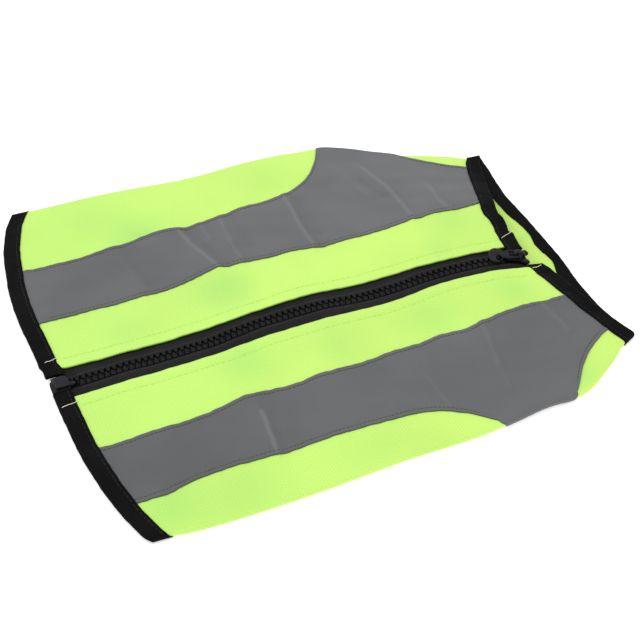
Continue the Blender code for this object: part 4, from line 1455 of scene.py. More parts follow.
@dataclass
class ReflectiveStrip:
    """A reflective strip on a side panel, with its edges turned in and its tab round the fold."""

    side: Side
    wall: float = 0.5
    gap: float = 0.08
    tuck: float = 1.4
    slant: tuple[float, float] = (2.6, 0.9)
    slant_length: float = 12.0
    bend: float = 22.0
    tab_end: float = 2.94
    stitch_from_edge: float = 2.1
    near: tuple[float, ...] = (0.0, 0.12, 0.35, 0.75, 1.3, 1.75, 2.1, 2.45, 2.9, 3.6)

    def inner_edge(self, x: np.ndarray) -> np.ndarray:
        """Distance of the inner edge from the zip's hem end, puckered by its stitching.

        Args:
            x: places along the vest.

        Returns:
            The distance at each.
        """
        edge = STRIP_INNER.at(x, self.side.value)
        edge = edge + 0.24 * ripple(x + 13.0 * self.side.sign, SEAM_WAVES)
        for crease in CREASES:
            for end in (crease.path[0], crease.path[-1]):
                if crease.crest > 0.3 and abs(abs(end[1]) - 43.0) < 6.0 and end[1] * self.side.sign > 0:
                    edge = edge + 0.4 * bell(x - end[0], 2.0) - 0.2 * bell(x - end[0] - 4.0, 3.0)
        return edge

    def outer_edge(self, x: np.ndarray) -> np.ndarray:
        """Distance of the outer edge from the zip's hem end, short of and past the turned tab.

        Args:
            x: places along the vest.

        Returns:
            The distance at each.
        """
        name = self.side.value
        table = np.where(x < SKIN.turns[self.side][0], STRIP_OUTER_HEM.at(x, name),
                         STRIP_OUTER_NECK.at(x, name))
        return table + 0.22 * ripple(x + 71.0 * self.side.sign, CUT_WAVES)

    def stations(self) -> tuple[np.ndarray, np.ndarray]:
        """The strip's sections, closest where it turns under the vest.

        Returns:
            Their places along the vest, and which of them are in the turned tab.
        """
        start, end = SKIN.turns[self.side]
        places = np.concatenate((
            spread(2.0, start - self.bend, 168), spread(start - self.bend, start, 28)[1:],
            spread(start, end, 42)[1:], spread(end, 256.0, 34)[1:]))
        return places, (places > start - 0.01) & (places < end + 0.01)

    def reaches(self, inner: np.ndarray, outer: np.ndarray) -> np.ndarray:
        """Distances from the zip's hem end, closest at both edges.

        Args:
            inner: the inner edge at each section.
            outer: the outer edge.

        Returns:
            A row of distances for each section.
        """
        near, middle = np.array(self.near), spread(0.0, 1.0, 36)[1:-1]
        inner, outer = inner[:, None], outer[:, None]
        between = inner + near[-1] + middle * (outer - inner - 2 * near[-1])
        return np.concatenate((inner + near, between, outer - near[::-1]), axis=1)

    def shifted(self, x: np.ndarray, across: np.ndarray) -> np.ndarray:
        """Places along, with the tab's sides at a slant and both ends tucked into the bindings.

        Args:
            x: places along the vest, in rows of one section.
            across: places across it.

        Returns:
            The places along that each point moves to.
        """
        start, end = SKIN.turns[self.side]
        from_start, from_end = (x - start) / self.slant_length, (end - x) / self.slant_length
        slant = (self.slant[0] * smooth(1.0 - from_start) * (from_start >= 0.0)
                 - self.slant[1] * smooth(1.0 - from_end) * (from_end >= 0.0))
        at_hem = 1.0 - smooth((x - x[0]) / 40.0)
        at_neck = smooth((x - x[-1]) / 36.0 + 1.0)
        return (x + slant * smooth((across - 1.0) * 1.5)
                + at_hem * (HEM.inside(self.side, across, -self.tuck) - x[0])
                + at_neck * (NECK.inside(self.side, across, -self.tuck) - x[-1]))

    def marks(self, x: np.ndarray, y: np.ndarray, off_edge: np.ndarray) -> dict[str, np.ndarray]:
        """The values that the finish reads.

        Args:
            x: X of the points.
            y: their Y.
            off_edge: their distances from the strip's edge.

        Returns:
            How much painted highlight each point has on a crease's crest (crease), how much painted shade
            beside a crest and in a narrow hollow (fold), and how much painted shade on the strip's edges and
            stitching (rim).
        """
        # Painted highlight on the crests, and painted shade beside them and in narrow hollows.
        crease, fold = np.zeros_like(x), np.zeros_like(x)
        for line in CREASES:
            if line.crest:
                away = line.away(x, y)
                crease += 2.2 * line.crest * bell(away, 0.8)
                fold += 2.0 * line.crest * bell(away - 2.8, 1.8)
            elif line.width < 5.0:
                fold -= line.height * bell(line.away(x, y), 2.3)
        # Painted shade along the edges and at the stitching line.
        rim = 0.85 * smooth(1.0 - off_edge / 0.55) + 0.14 * bell(off_edge - 2.15, 0.5)
        return {name: np.clip(values, 0.0, 1.0)
                for name, values in (("crease", crease), ("fold", fold), ("rim", rim))}

    def build(self) -> None:
        """Makes the strip: its band on the upper layer, and its tab round the fold."""
        side = self.side
        stations, turned = self.stations()
        inner = self.inner_edge(stations)
        fold = SKIN.fold_centre(side, stations)
        outer = np.where(turned, fold, np.minimum(self.outer_edge(stations), fold - 0.02))
        reach = self.reaches(inner, outer)
        over = SKIN.across_at(side, np.broadcast_to(stations[:, None], reach.shape), side.sign * reach)
        tab = np.concatenate((spread(1.0, 2.0, 10)[1:], spread(2.0, self.tab_end, 5)[1:]))
        across = np.concatenate((over, np.broadcast_to(tab, (len(stations), len(tab)))), axis=1)
        x = self.shifted(np.broadcast_to(stations[:, None], across.shape), across)
        keep = np.ones((len(stations) - 1, across.shape[1] - 1), bool)
        keep[:, over.shape[1] - 1:] = (turned[:-1] & turned[1:])[:, None]
        start, end = SKIN.turns[side]
        from_outer = np.where(turned[:, None], 60.0, outer[:, None] - reach)
        off_edge = np.minimum(reach - inner[:, None], from_outer)
        tab_side = np.minimum(stations - start, end - stations)[:, None]
        off_edge = np.concatenate((off_edge, np.broadcast_to(tab_side, (len(stations), len(tab)))), axis=1)
        off_edge = np.clip(off_edge, 0.0, 60.0)
        low = SKIN.wall / 2 + self.gap
        rounded = np.sqrt(np.clip(1.0 - (1.0 - np.minimum(off_edge / 0.7, 1.0)) ** 2, 0.0, 1.0))
        groove = 0.16 * bell(off_edge - self.stitch_from_edge, 0.35)
        turned_in = 0.2 * smooth((2.3 - off_edge) / 0.9) - groove
        top = low + (self.wall + turned_in * (across <= 1.0)) * (0.3 + 0.7 * rounded)
        tucked = np.minimum(x - HEM.inside(side, across), NECK.inside(side, across) - x)
        top = np.minimum(top, low + self.wall + 0.4 * smooth(tucked / 1.2))
        points = SKIN.lifted(side, x, across, top)
        plan = np.stack((x, across * SKIN.panel_width(side, x)), axis=-1)
        piece = shell(f"strip_{side.value}_cloth", points, SKIN.lifted(side, x, across, low), plan, keep=keep,
                      marks=self.marks(x, SKIN.y(side, x, across), off_edge))
        settle_sheet(piece, GREY, f"strip_{side.value}",
                     sheet_cut(points, keep))


def line_over(side: Side, x: np.ndarray, across: np.ndarray,
              lift: float | np.ndarray) -> tuple[np.ndarray, np.ndarray]:
    """A line lifted over the skin, and which way is up at each of its points."""
    line = SKIN.lifted(side, x, across, lift)
    return line, SKIN.lifted(side, x, across, lift + 1.0) - line


def turned_section(width: float, wall: float, half: float) -> tuple[np.ndarray, np.ndarray]:
    """The section of tape folded round a cut edge.

    Args:
        width: how far the tape reaches in from the outer edge.
        wall: the tape's thickness.
        half: half the thickness of the bound edge.

    Returns:
        The outer and inner lines of the section: distance from the outer edge, and height.
    """
    reaches = [width, width - 0.12, width - 0.5, width - 1.3, width - 2.0, width - 2.6, width * 0.55,
               width * 0.4, width * 0.28, width * 0.2]
    leg = [(reach, 1.0) for reach in reaches]
    angles = spread(math.radians(90), math.radians(-90), 8)
    nose = [(half * (1.0 - math.cos(angle)), math.sin(angle)) for angle in angles]
    line = np.array(leg + nose + [(reach, -height) for reach, height in leg[::-1]])
    outer = np.stack((line[:, 0], line[:, 1] * half), axis=-1)
    inner = np.stack((np.maximum(line[:, 0], 0.0) + wall * np.clip(1.0 - line[:, 0] / half, 0.0, 1.0),
                      line[:, 1] * (half - wall)), axis=-1)
    return outer, inner


@dataclass
class Binding:
    """Black tape folded round the hem or the neck, from one side of the zip to the other."""

    name: str
    node: str
    edge: Edge
    ends: dict[Side, float]
    wall: float = 0.5
    stitch_from_edge: float = 1.7

    def places(self, side: Side) -> np.ndarray:
        """The places across along a half of the edge, in the order left of the zip, belly, right.

        Args:
            side: the half of the vest.

        Returns:
            The places.
        """
        first = SKIN.from_zip(side, self.edge.over.at(0.0, "x"), self.ends[side])
        fold = SKIN.fold_centre(side, self.edge.outside(side, 2.0, wavy=False))
        half = np.concatenate((spread(first, 1.0, 84), spread(1.0, 2.0, 10)[1:],
                               spread(2.0, 2.0 + fold / SKIN.seam_inset, 70)[1:]))
        return half if side is Side.LEFT else half[-2::-1]

    def over_strip(self, side: Side, across: np.ndarray) -> np.ndarray:
        """How far the upper leg is lifted where it crosses the reflective strip.

        Args:
            side: the half of the vest.
            across: the places across.

        Returns:
            The lift at each place.
        """
        x = self.edge.inside(side, across)
        reach = side.sign * SKIN.y(side, x, across)
        table = STRIP_OUTER_HEM if self.edge.inward > 0 else STRIP_OUTER_NECK
        inside = reach - STRIP_INNER.at(x, side.value) + 1.4
        outside = table.at(x, side.value) + 1.4 - reach
        return 0.5 * smooth(inside / 2.2) * smooth(outside / 2.2) * (across < 1.0)

    def build(self) -> None:
        """Makes the binding."""
        outer_line, inner_line = turned_section(self.edge.width, self.wall, BINDING_HALF)
        groove = 0.07 * bell(self.edge.width - outer_line[:, 0] - self.stitch_from_edge, 0.45)
        outer, inner, plan = [], [], []
        for side in Side:
            across = self.places(side)[:, None]
            outside = self.edge.outside(side, across)
            along = np.concatenate(([0.0], np.cumsum(np.abs(np.diff(SKIN.y(side, outside, across)[:, 0])))))
            puff = 0.10 * ripple(along + 20.0 * side.sign, SEAM_WAVES)[:, None]
            scale = self.edge.width_at(side, across) / self.edge.width
            over = self.over_strip(side, across)
            for line, walls, swell in ((outer_line, outer, 1.0), (inner_line, inner, 0.0)):
                x = outside + self.edge.inward * line[:, 0] * scale
                lift = line[:, 1] + swell * np.sign(line[:, 1]) * (puff - groove) * (across < 1.2)
                lift = lift + over * smooth(line[:, 0] / self.edge.width * 2.2 - 0.7) * (line[:, 1] > 0.0)
                walls.append(SKIN.lifted(side, x, across, lift - binding_drop(across)))
            plan.append(np.stack(np.broadcast_arrays(along[:, None], outer_line[:, 0]), axis=-1))
        piece = shell(self.name, np.concatenate(outer), np.concatenate(inner), np.concatenate(plan))
        settle_sheet(piece, BLACK_TAPE, self.node,
                     sheet_cut(np.concatenate(outer)))

    def stitch_line(self, side: Side) -> tuple[np.ndarray, np.ndarray]:
        """The stitching near the binding's inner edge, on the upper layer.

        Args:
            side: the half of the vest.

        Returns:
            The line's points and which way is up at each.
        """
        first = SKIN.from_zip(side, self.edge.over.at(0.0, "x"), self.ends[side] + 1.0)
        across = spread(first, 0.995, 260)
        x = self.edge.inside(side, across) - self.edge.inward * self.stitch_from_edge
        lift = BINDING_HALF - 0.08 + self.over_strip(side, across)
        return line_over(side, x, across, lift)


@dataclass
class LegBinding:
    """Black tape folded round a leg hole."""

    side: Side
    belly: BellyPanel
    wall: float = 0.5
    steps: int = 96

    def build(self) -> None:
        """Makes the binding."""
        outer_line, inner_line = turned_section(self.belly.tape, self.wall, BINDING_HALF)
        angles = spread(0.0, 2.0 * math.pi, self.steps)[:-1, None]
        walls = []
        for line in (outer_line, inner_line):
            radii = [size / 2 + line[:, 0] for size in self.belly.hole_size]
            x = self.belly.hole_x + radii[0] * np.cos(angles)
            y = self.belly.hole_y[self.side] + radii[1] * np.sin(angles)
            z = np.broadcast_to(BINDING_HALF + line[:, 1], x.shape)
            walls.append(np.stack((x, y, z), axis=-1))
        along = angles * sum(self.belly.hole_size) / 4
        plan = np.stack(np.broadcast_arrays(along, outer_line[:, 0]), axis=-1)
        name = f"leg_binding_{self.side.value}"
        piece = shell(name + "_tape", walls[0], walls[1], plan, closed=True)
        settle_sheet(piece, BLACK_TAPE, name,
                     sheet_cut(np.concatenate((walls[0], walls[0][:1]))))


# ---- Zip ----


@dataclass(frozen=True)
class ZipLine:
    """Where the zip's tapes and teeth lie under the skin."""

    drop: float = 1.15
    last: float = 237.0

    def points(self, distance: float, x: np.ndarray, lift: float = 0.0,
               side: Side = Side.LEFT) -> np.ndarray:
        """Points this far from the zip's middle and this high over its tape, in millimetres."""
        return SKIN.lifted(side, x, SKIN.from_zip(side, x, distance), lift - self.drop)


ZIP_LINE = ZipLine()


@dataclass
class ZipTape:
    """A zip tape, with the cord that its teeth are moulded on."""

    side: Side
    wall: float = 0.55
    inner: float = 0.05
    outer: float = 14.5
    tuck: float = 1.6
    end: float = -2.6
    hem_x: float = 5.0
    neck_x: float = 238.0
    rows: int = 200
    bare: dict[Side, float] = field(default_factory=lambda: {Side.LEFT: 7.0, Side.RIGHT: 4.6})

    def build(self) -> None:
        """Makes the tape."""
        side = self.side
        distances = np.array([self.inner, 0.4, 1.1, 2.6, 2.95, 3.2, 3.5, 3.9, 4.4, 4.9, 5.6, 6.3, 6.9, 7.6,
                              8.4, 9.6, 12.0, self.outer])
        at_hem = HEM.inside(side, SKIN.from_zip(side, self.hem_x, distances), -self.tuck)
        at_hem = np.where(distances < self.bare[side], self.end, at_hem)
        at_neck = NECK.inside(side, SKIN.from_zip(side, self.neck_x, distances), -self.tuck)
        x = at_hem + spread(0.0, 1.0, self.rows)[:, None] * (at_neck - at_hem)
        across = SKIN.from_zip(side, x, distances)
        cord = 0.30 * bell(distances - 3.6, 0.55)
        selvage = -0.12 * bell(distances - self.outer, 0.5)
        rounded = np.where(distances < 0.2, 0.35, 1.0)
        half = (self.wall / 2 + cord + selvage) * rounded
        wave = 0.10 * bell(distances - 7.0, 3.0) * ripple(x + 33.0 * side.sign, SEAM_WAVES)
        middle = wave - ZIP_LINE.drop
        outer_points = SKIN.lifted(side, x, across, middle + half)
        inner_points = SKIN.lifted(side, x, across, middle - half)
        plan = np.stack((x, np.broadcast_to(distances, x.shape)), axis=-1)
        # Painted shade: the tape's inner band, under the teeth, is marked deep so that it is darkened.
        deep = np.broadcast_to(smooth((3.3 - distances) / 0.4), x.shape)
        band = np.broadcast_to(smooth((distances - 3.3) / 0.3) * smooth((6.0 - distances) / 1.2), x.shape)
        name = f"zip_tape_{side.value}"
        piece = shell(name + "_weave", outer_points, inner_points, plan, marks={"deep": deep, "band": band})
        settle_sheet(piece, WOVEN_TAPE, name, sheet_cut(outer_points))


def walk(line: np.ndarray, start: float, length: float, step: float) -> np.ndarray:
    """Points evenly spaced along a line.

    Args:
        line: the line's points, in millimetres.
        start: where along the line the first one is.
        length: the distance to the last one.
        step: the distance between two.

    Returns:
        The points.
    """
    gone = np.concatenate(([0.0], np.cumsum(np.linalg.norm(np.diff(line, axis=0), axis=1))))
    places = start + np.arange(0.0, length + step / 2, step)
    return np.stack([np.interp(places, gone, line[:, k]) for k in range(3)], axis=-1)


class RowTree:
    """A Geometry Nodes tree that sets one piece again and again along lines."""

    def __init__(self, name: str) -> None:
        """Builds the tree with its named inputs.

        Args:
            name: the tree's name.
        """
        self.tree = bpy.data.node_groups.new(name, "GeometryNodeTree")
        self.sockets = {}
        for label, kind, value in (
                ("Lines", "NodeSocketGeometry", None), ("Pitch", "NodeSocketFloat", 0.003),
                ("Unevenness", "NodeSocketFloat", 0.0), ("Seed", "NodeSocketInt", 0),
                ("Piece", "NodeSocketObject", None), ("Material", "NodeSocketMaterial", None)):
            socket = self.tree.interface.new_socket(label, in_out="INPUT", socket_type=kind)
            if value is not None:
                socket.default_value = value
            self.sockets[label] = socket.identifier
        self.tree.interface.new_socket("Rows", in_out="OUTPUT", socket_type="NodeSocketGeometry")
        nodes = NodeTree(self.tree)
        given = self.tree.nodes.new("NodeGroupInput").outputs
        curve = nodes.add("GeometryNodeMeshToCurve", given["Lines"])
        even = nodes.add("GeometryNodeResampleCurve", mode="LENGTH")
        nodes.feed(even.inputs["Curve"], curve.outputs[0])
        nodes.feed(even.inputs["Length"], given["Pitch"])
        tangent = nodes.add("GeometryNodeInputTangent").outputs[0]
        up = nodes.add("GeometryNodeInputNamedAttribute", "up", data_type="FLOAT_VECTOR").outputs[0]
        turn = nodes.add("FunctionNodeAxesToRotation", tangent, up, primary_axis="X", secondary_axis="Z")
        chance = nodes.add("FunctionNodeRandomValue", data_type="FLOAT")
        low = nodes.math("SUBTRACT", 1.0, given["Unevenness"])
        high = nodes.math("ADD", 1.0, given["Unevenness"])
        nodes.feed(chance.inputs[2], low)
        nodes.feed(chance.inputs[3], high)
        nodes.feed(chance.inputs["Seed"], given["Seed"])
        scale = nodes.add("ShaderNodeCombineXYZ", chance.outputs[1], 1.0, 1.0)
        source = nodes.add("GeometryNodeObjectInfo", given["Piece"])
        placed = nodes.add("GeometryNodeInstanceOnPoints", even.outputs[0])
        nodes.feed(placed.inputs["Instance"], source.outputs["Geometry"])
        nodes.feed(placed.inputs["Rotation"], turn.outputs[0])
        nodes.feed(placed.inputs["Scale"], scale.outputs[0])
        real = nodes.add("GeometryNodeRealizeInstances", placed.outputs[0])
        dressed = nodes.add("GeometryNodeSetMaterial", real.outputs[0])
        nodes.feed(dressed.inputs["Material"], given["Material"])
        out = self.tree.nodes.new("NodeGroupOutput")
        nodes.feed(out.inputs[0], dressed.outputs[0])

    def lay(self, name: str, lines: list[tuple[np.ndarray, np.ndarray]], piece: bpy.types.Object,
            finish: Finish, pitch: float, unevenness: float = 0.0, seed: int = 0) -> bpy.types.Object:
        """Sets a piece along lines and makes the result one plain mesh.

        Args:
            name: the result's name.
            lines: each line's points, in millimetres, and which way is up at each.
            piece: what is set, about its own origin, with its length along X.
            finish: its finish.
            pitch: the distance between two, in millimetres.
            unevenness: how much their lengths differ, as a share.
            seed: the seed of those lengths.

        Returns:
            The new object.
        """
        mesh = bpy.data.meshes.new(name)
        points = np.concatenate([(line - MIDDLE) * MM for line, _ in lines])
        edges, first = [], 0
        for line, _ in lines:
            edges += [(first + k, first + k + 1) for k in range(len(line) - 1)]
            first += len(line)
        mesh.from_pydata(points.tolist(), edges, [])
        up = np.concatenate([way for _, way in lines]).astype(np.float32)
        mesh.attributes.new("up", "FLOAT_VECTOR", "POINT").data.foreach_set("vector", up.ravel())
        source = add_object(name + "_lines", mesh)
        rows = source.modifiers.new("rows", "NODES")
        rows.node_group = self.tree
        for label, value in (("Pitch", pitch * MM), ("Unevenness", unevenness), ("Seed", seed),
                             ("Piece", piece), ("Material", WARDROBE.material(finish))):
            rows[self.sockets[label]] = value
        bpy.context.view_layer.update()
        graph = bpy.context.evaluated_depsgraph_get()
        made = bpy.data.meshes.new_from_object(source.evaluated_get(graph))
        bpy.data.objects.remove(source)
        made.name = name
        return add_object(name, made)


@dataclass
class ZipTeeth:
    """Two rows of moulded teeth that close on each other."""

    rows: RowTree
    pitch: float = 3.0
    start: float = 7.4
    thick: float = 2.3
    foot: float = 3.15

    def tooth(self) -> bpy.types.Object:
        """One tooth: a foot clamped on the tape's cord, a neck and a head.

        Returns:
            The tooth, about its own origin.
        """
        solids = Solids()
        half = self.thick / 2
        foot = [(-1.28, 2.7), (-1.2, self.foot), (1.2, self.foot), (1.28, 2.7), (0.46, 0.14), (-0.46, 0.14)]
        head = [(-0.5, 1.2), (-0.7, 0.1), (-0.72, -0.3), (-0.58, -0.8), (-0.4, -1.15), (0.4, -1.15),
                (0.58, -0.8), (0.72, -0.3), (0.7, 0.1), (0.5, 1.2)]
        solids.add_plate(foot, -half, half, 0.16, steps=1)
        solids.add_plate(head, -half * 0.8, half * 0.35, 0.12, steps=1)
        # Painted shade on each tooth, strongest low down between the teeth.
        return solids.placed("tooth", Matrix.Identity(4), sharp=30.0, deep=(-half - 0.6, half))

    def build(self) -> None:
        """Makes all the teeth."""
        tooth = self.tooth()
        x = spread(2.0, 246.0, 600)
        middle = ZIP_LINE.points(0.0, x)
        up = ZIP_LINE.points(0.0, x, 1.0) - middle
        count = int((ZIP_LINE.last - 10.0) / self.pitch)
        lines = []
        for shift, reverse in ((0.0, False), (self.pitch / 2, True)):
            row = walk(middle, self.start + shift, count * self.pitch, self.pitch)
            ways = np.stack([np.interp(row[:, 0], x, up[:, k]) for k in range(3)], axis=-1)
            lines.append((row[::-1], ways[::-1]) if reverse else (row, ways))
        piece = self.rows.lay("zip_teeth", lines, tooth, TEETH_PLASTIC, self.pitch)
        bpy.data.objects.remove(tooth)
        soften(piece.data, 30.0)
        settle(piece, TEETH_PLASTIC, "vest", "zip_chain")


def placed_on_zip(x: float) -> Matrix:
    """The frame of a hard piece on the zip: its X along the zip and its Z off the cloth.

    Args:
        x: where it is along the zip.

    Returns:
        The frame, in metres.
    """
    here, ahead, behind = (Vector(ZIP_LINE.points(0.0, np.array(x + step))) for step in (0.0, 4.0, -4.0))
    along = (ahead - behind).normalized()
    across = Vector((0.0, 0.0, 1.0)).cross(along).normalized()
    turn = Matrix((along, across, along.cross(across))).transposed().to_4x4()
    return Matrix.Translation((here - Vector(MIDDLE)) * MM) @ turn


@dataclass
class ZipBox:
    """The moulded box at the hem end: a base on the tape, a lid over it and two tongues."""

    low: float = -1.7
    ledge: float = 1.25
    lid_low: float = 2.1
    high: float = 3.4

    def build(self) -> None:
        """Makes the box."""
        solids = Solids()
        base = [(-3.7, -2.6), (-3.1, -3.3), (4.4, -3.3), (5.1, -2.7), (4.8, 3.6), (4.0, 4.4), (-2.8, 4.4),
                (-3.6, 3.7)]
        solids.add_plate(base, self.low, self.ledge, 0.4)
        core = [(-1.5, -1.9), (4.4, -2.4), (3.5, 3.2), (-1.5, 3.6)]
        solids.add_plate(core, self.ledge - 0.3, self.lid_low + 0.3, 0.0)
        lid = [(-1.95, -2.5), (4.6, -3.0), (5.4, -2.4), (4.6, 2.2), (3.9, 3.9), (3.3, 4.2), (-2.1, 4.5)]
        solids.add_plate(lid, self.lid_low, self.high, 0.32)
        rim = ((-3.0, 3.9, 0.9), (-3.4, 2.6, 1.25), (-3.5, 0.4, 1.35), (-3.5, -2.0, 1.25), (-3.1, -3.3, 0.9))
        solids.add_tube([Vector(place) for place in rim], 0.32, sides=8)
        solids.add_eye((6.0, 2.1, 1.7, 1.05), (6.0, 2.1, 0.8, 0.4), 0.75, Matrix.Translation((0.0, 0.0, 0.9)))
        tongue = [(4.4, -1.7), (7.2, -1.6), (8.0, -0.9), (8.1, -0.1), (7.6, 0.6), (4.4, 0.8)]
        solids.add_plate(tongue, -0.6, 1.5, 0.3, steps=2)
        solids.add_plate([(5.0, -0.75), (6.8, -0.75), (6.8, -0.3), (5.0, -0.3)], 1.4, 1.62, 0.0)
        # Painted shade on the box below its ledge.
        piece = solids.placed("zip_box_moulding", placed_on_zip(0.0), deep=(0.75, 1.25))
        settle(piece, PLASTIC, "vest", "zip_box")


@dataclass
class ZipSlider:
    """The slider and its pull, about the bar that the pull turns on."""

    place: float = 241.5
    tail: float = -8.0
    nose: float = 4.7
    space: float = 3.2
    plate: float = 1.0
    bar: float = 0.75
    pivot_x: float = -1.5
    gap: float = 0.7
    droop: float = math.radians(5.5)
    roll: float = math.radians(6.0)
    skew: float = math.radians(-4.0)

    def frame(self) -> Matrix:
        """The slider's own frame, found from the hinge of its pull.

        Returns:
            The frame, in metres.
        """
        joint = frame["joints"][0]
        over = Vector(joint["axis"]).normalized()
        along = placed_on_zip(self.place).to_3x3().col[0]
        along = (along - along.dot(over) * over).normalized()
        turn = Matrix((along, over, along.cross(over))).transposed().to_4x4()
        height = self.space / 2 + self.plate + self.gap + self.bar
        return (Matrix.Translation(Vector(joint["pos_m"])) @ turn
                @ Matrix.Translation(Vector((-self.pivot_x, 0.0, -height)) * MM))

    def build_slider(self) -> None:
        """Makes the slider."""
        solids = Solids()
        tail, nose = self.tail, self.nose
        low, high = self.space / 2, self.space / 2 + self.plate
        edge = [(1.2, -4.6), (nose - 1.6, -5.0), (nose - 0.5, -4.7), (nose, -3.6), (nose - 0.3, -2.4),
                (nose - 1.2, -1.6), (nose - 2.6, -1.2), (nose - 3.1, 0.0)]
        for half, bottom, top in ((3.1, low, high), (3.9, -high, -low)):
            near = [(tail, 0.8 - half), (tail + 0.8, -half), (-1.0, -half), *edge]
            far = [(x, -y) for x, y in near[::-1] if y]
            solids.add_plate(near + far, bottom, top, 0.45)
        wedge = [(nose - 5.8, 0.0), (nose - 2.8, -1.7), (nose - 1.9, 0.0), (nose - 2.8, 1.7)]
        solids.add_plate(wedge, -low - 0.3, low + 0.3, 0.0)
        for sign in (1.0, -1.0):
            lobe = ((nose - 3.8, 3.5, high - 0.2), (nose - 2.0, 3.4, high + 0.15),
                    (nose - 1.1, 3.3, high - 0.5))
            rail = ((tail + 0.6, 3.6, low - 0.1), (-1.0, 3.6, low - 0.1), (1.6, 4.5, low),
                    (nose - 1.7, 4.8, low))
            solids.add_tube([Vector((x, sign * y, z)) for x, y, z in lobe], 1.3, sides=14, flat=0.75)
            solids.add_tube([Vector((x, sign * y, z)) for x, y, z in rail], 0.5, sides=8)
        self.add_crown(solids, high)
        pivot = Matrix.Translation(Vector((self.pivot_x * MM, 0.0, 0.0)))
        place = self.frame() @ pivot @ Matrix.Rotation(self.skew, 4, "Z") @ pivot.inverted()
        # Painted shade on the slider: full below its top plate, fading out just above it, under the pull.
        piece = solids.placed("zip_slider_moulding", place, deep=(low + 0.1, high + 0.6))
        settle(piece, PLASTIC, "vest", "zip_slider")

    def add_crown(self, solids: Solids, high: float) -> None:
        """Adds the arch that holds the pull, from the nose to behind the bar.

        Args:
            solids: what it joins.
            high: the height of the slider's top.
        """
        pivot = high + self.gap + self.bar
        feet = [(2.1, high - 0.3), (1.9, high + 0.8), (1.2, pivot + 1.0)]
        arch = [(self.pivot_x + 1.9 * math.cos(a), pivot + 1.9 * math.sin(a))
                for a in spread(math.radians(60), math.radians(180), 8)]
        tail = [(self.pivot_x - 1.9, pivot - 0.6), (self.pivot_x - 1.9, high - 0.2)]
        solids.add_strap([Vector((x, 0.0, z)) for x, z in feet + arch + tail], 1.35, 0.55)

    def build_pull(self) -> None:
        """Makes the pull: a loop round the slider's arch, a stem and a round eye."""
        solids = Solids()
        thick = self.bar
        turn = Matrix.Rotation(-self.droop, 4, "Y") @ Matrix.Rotation(self.roll, 4, "X")
        bar = [(-0.6, -2.7), (0.62, -2.7), (0.62, 2.7), (-0.6, 2.7)]
        solids.add_plate(bar, -thick * 0.8, thick * 0.8, 0.4, turn=turn)
        for sign in (1.0, -1.0):
            cheek = [(-6.4, sign * 1.7), (0.6, sign * 1.75), (0.6, sign * 2.75), (-5.2, sign * 2.85),
                     (-6.8, sign * 2.4)]
            solids.add_plate(cheek, -0.62, thick, 0.3, turn=turn)
        stem = [(-8.4, -2.4), (-7.6, -2.1), (-6.6, -2.4), (-4.6, -1.9), (-4.6, 1.9), (-6.6, 2.4), (-7.6, 2.1),
                (-9.0, 2.4)]
        solids.add_plate(stem, -thick * 0.8, thick * 0.8, 0.3, turn=turn)
        solids.add_eye((-11.4, 0.0, 3.9, 4.95), (-10.1, -2.0, 1.5, 1.95), thick * 1.2, turn)
        joint = frame["joints"][0]
        place = Matrix.Translation(Vector(joint["pos_m"])) @ self.frame().to_3x3().to_4x4()
        piece = solids.placed("zip_pull_moulding", place)
        settle(piece, PLASTIC, "pull", "zip_pull")


# ---- Stitching ----


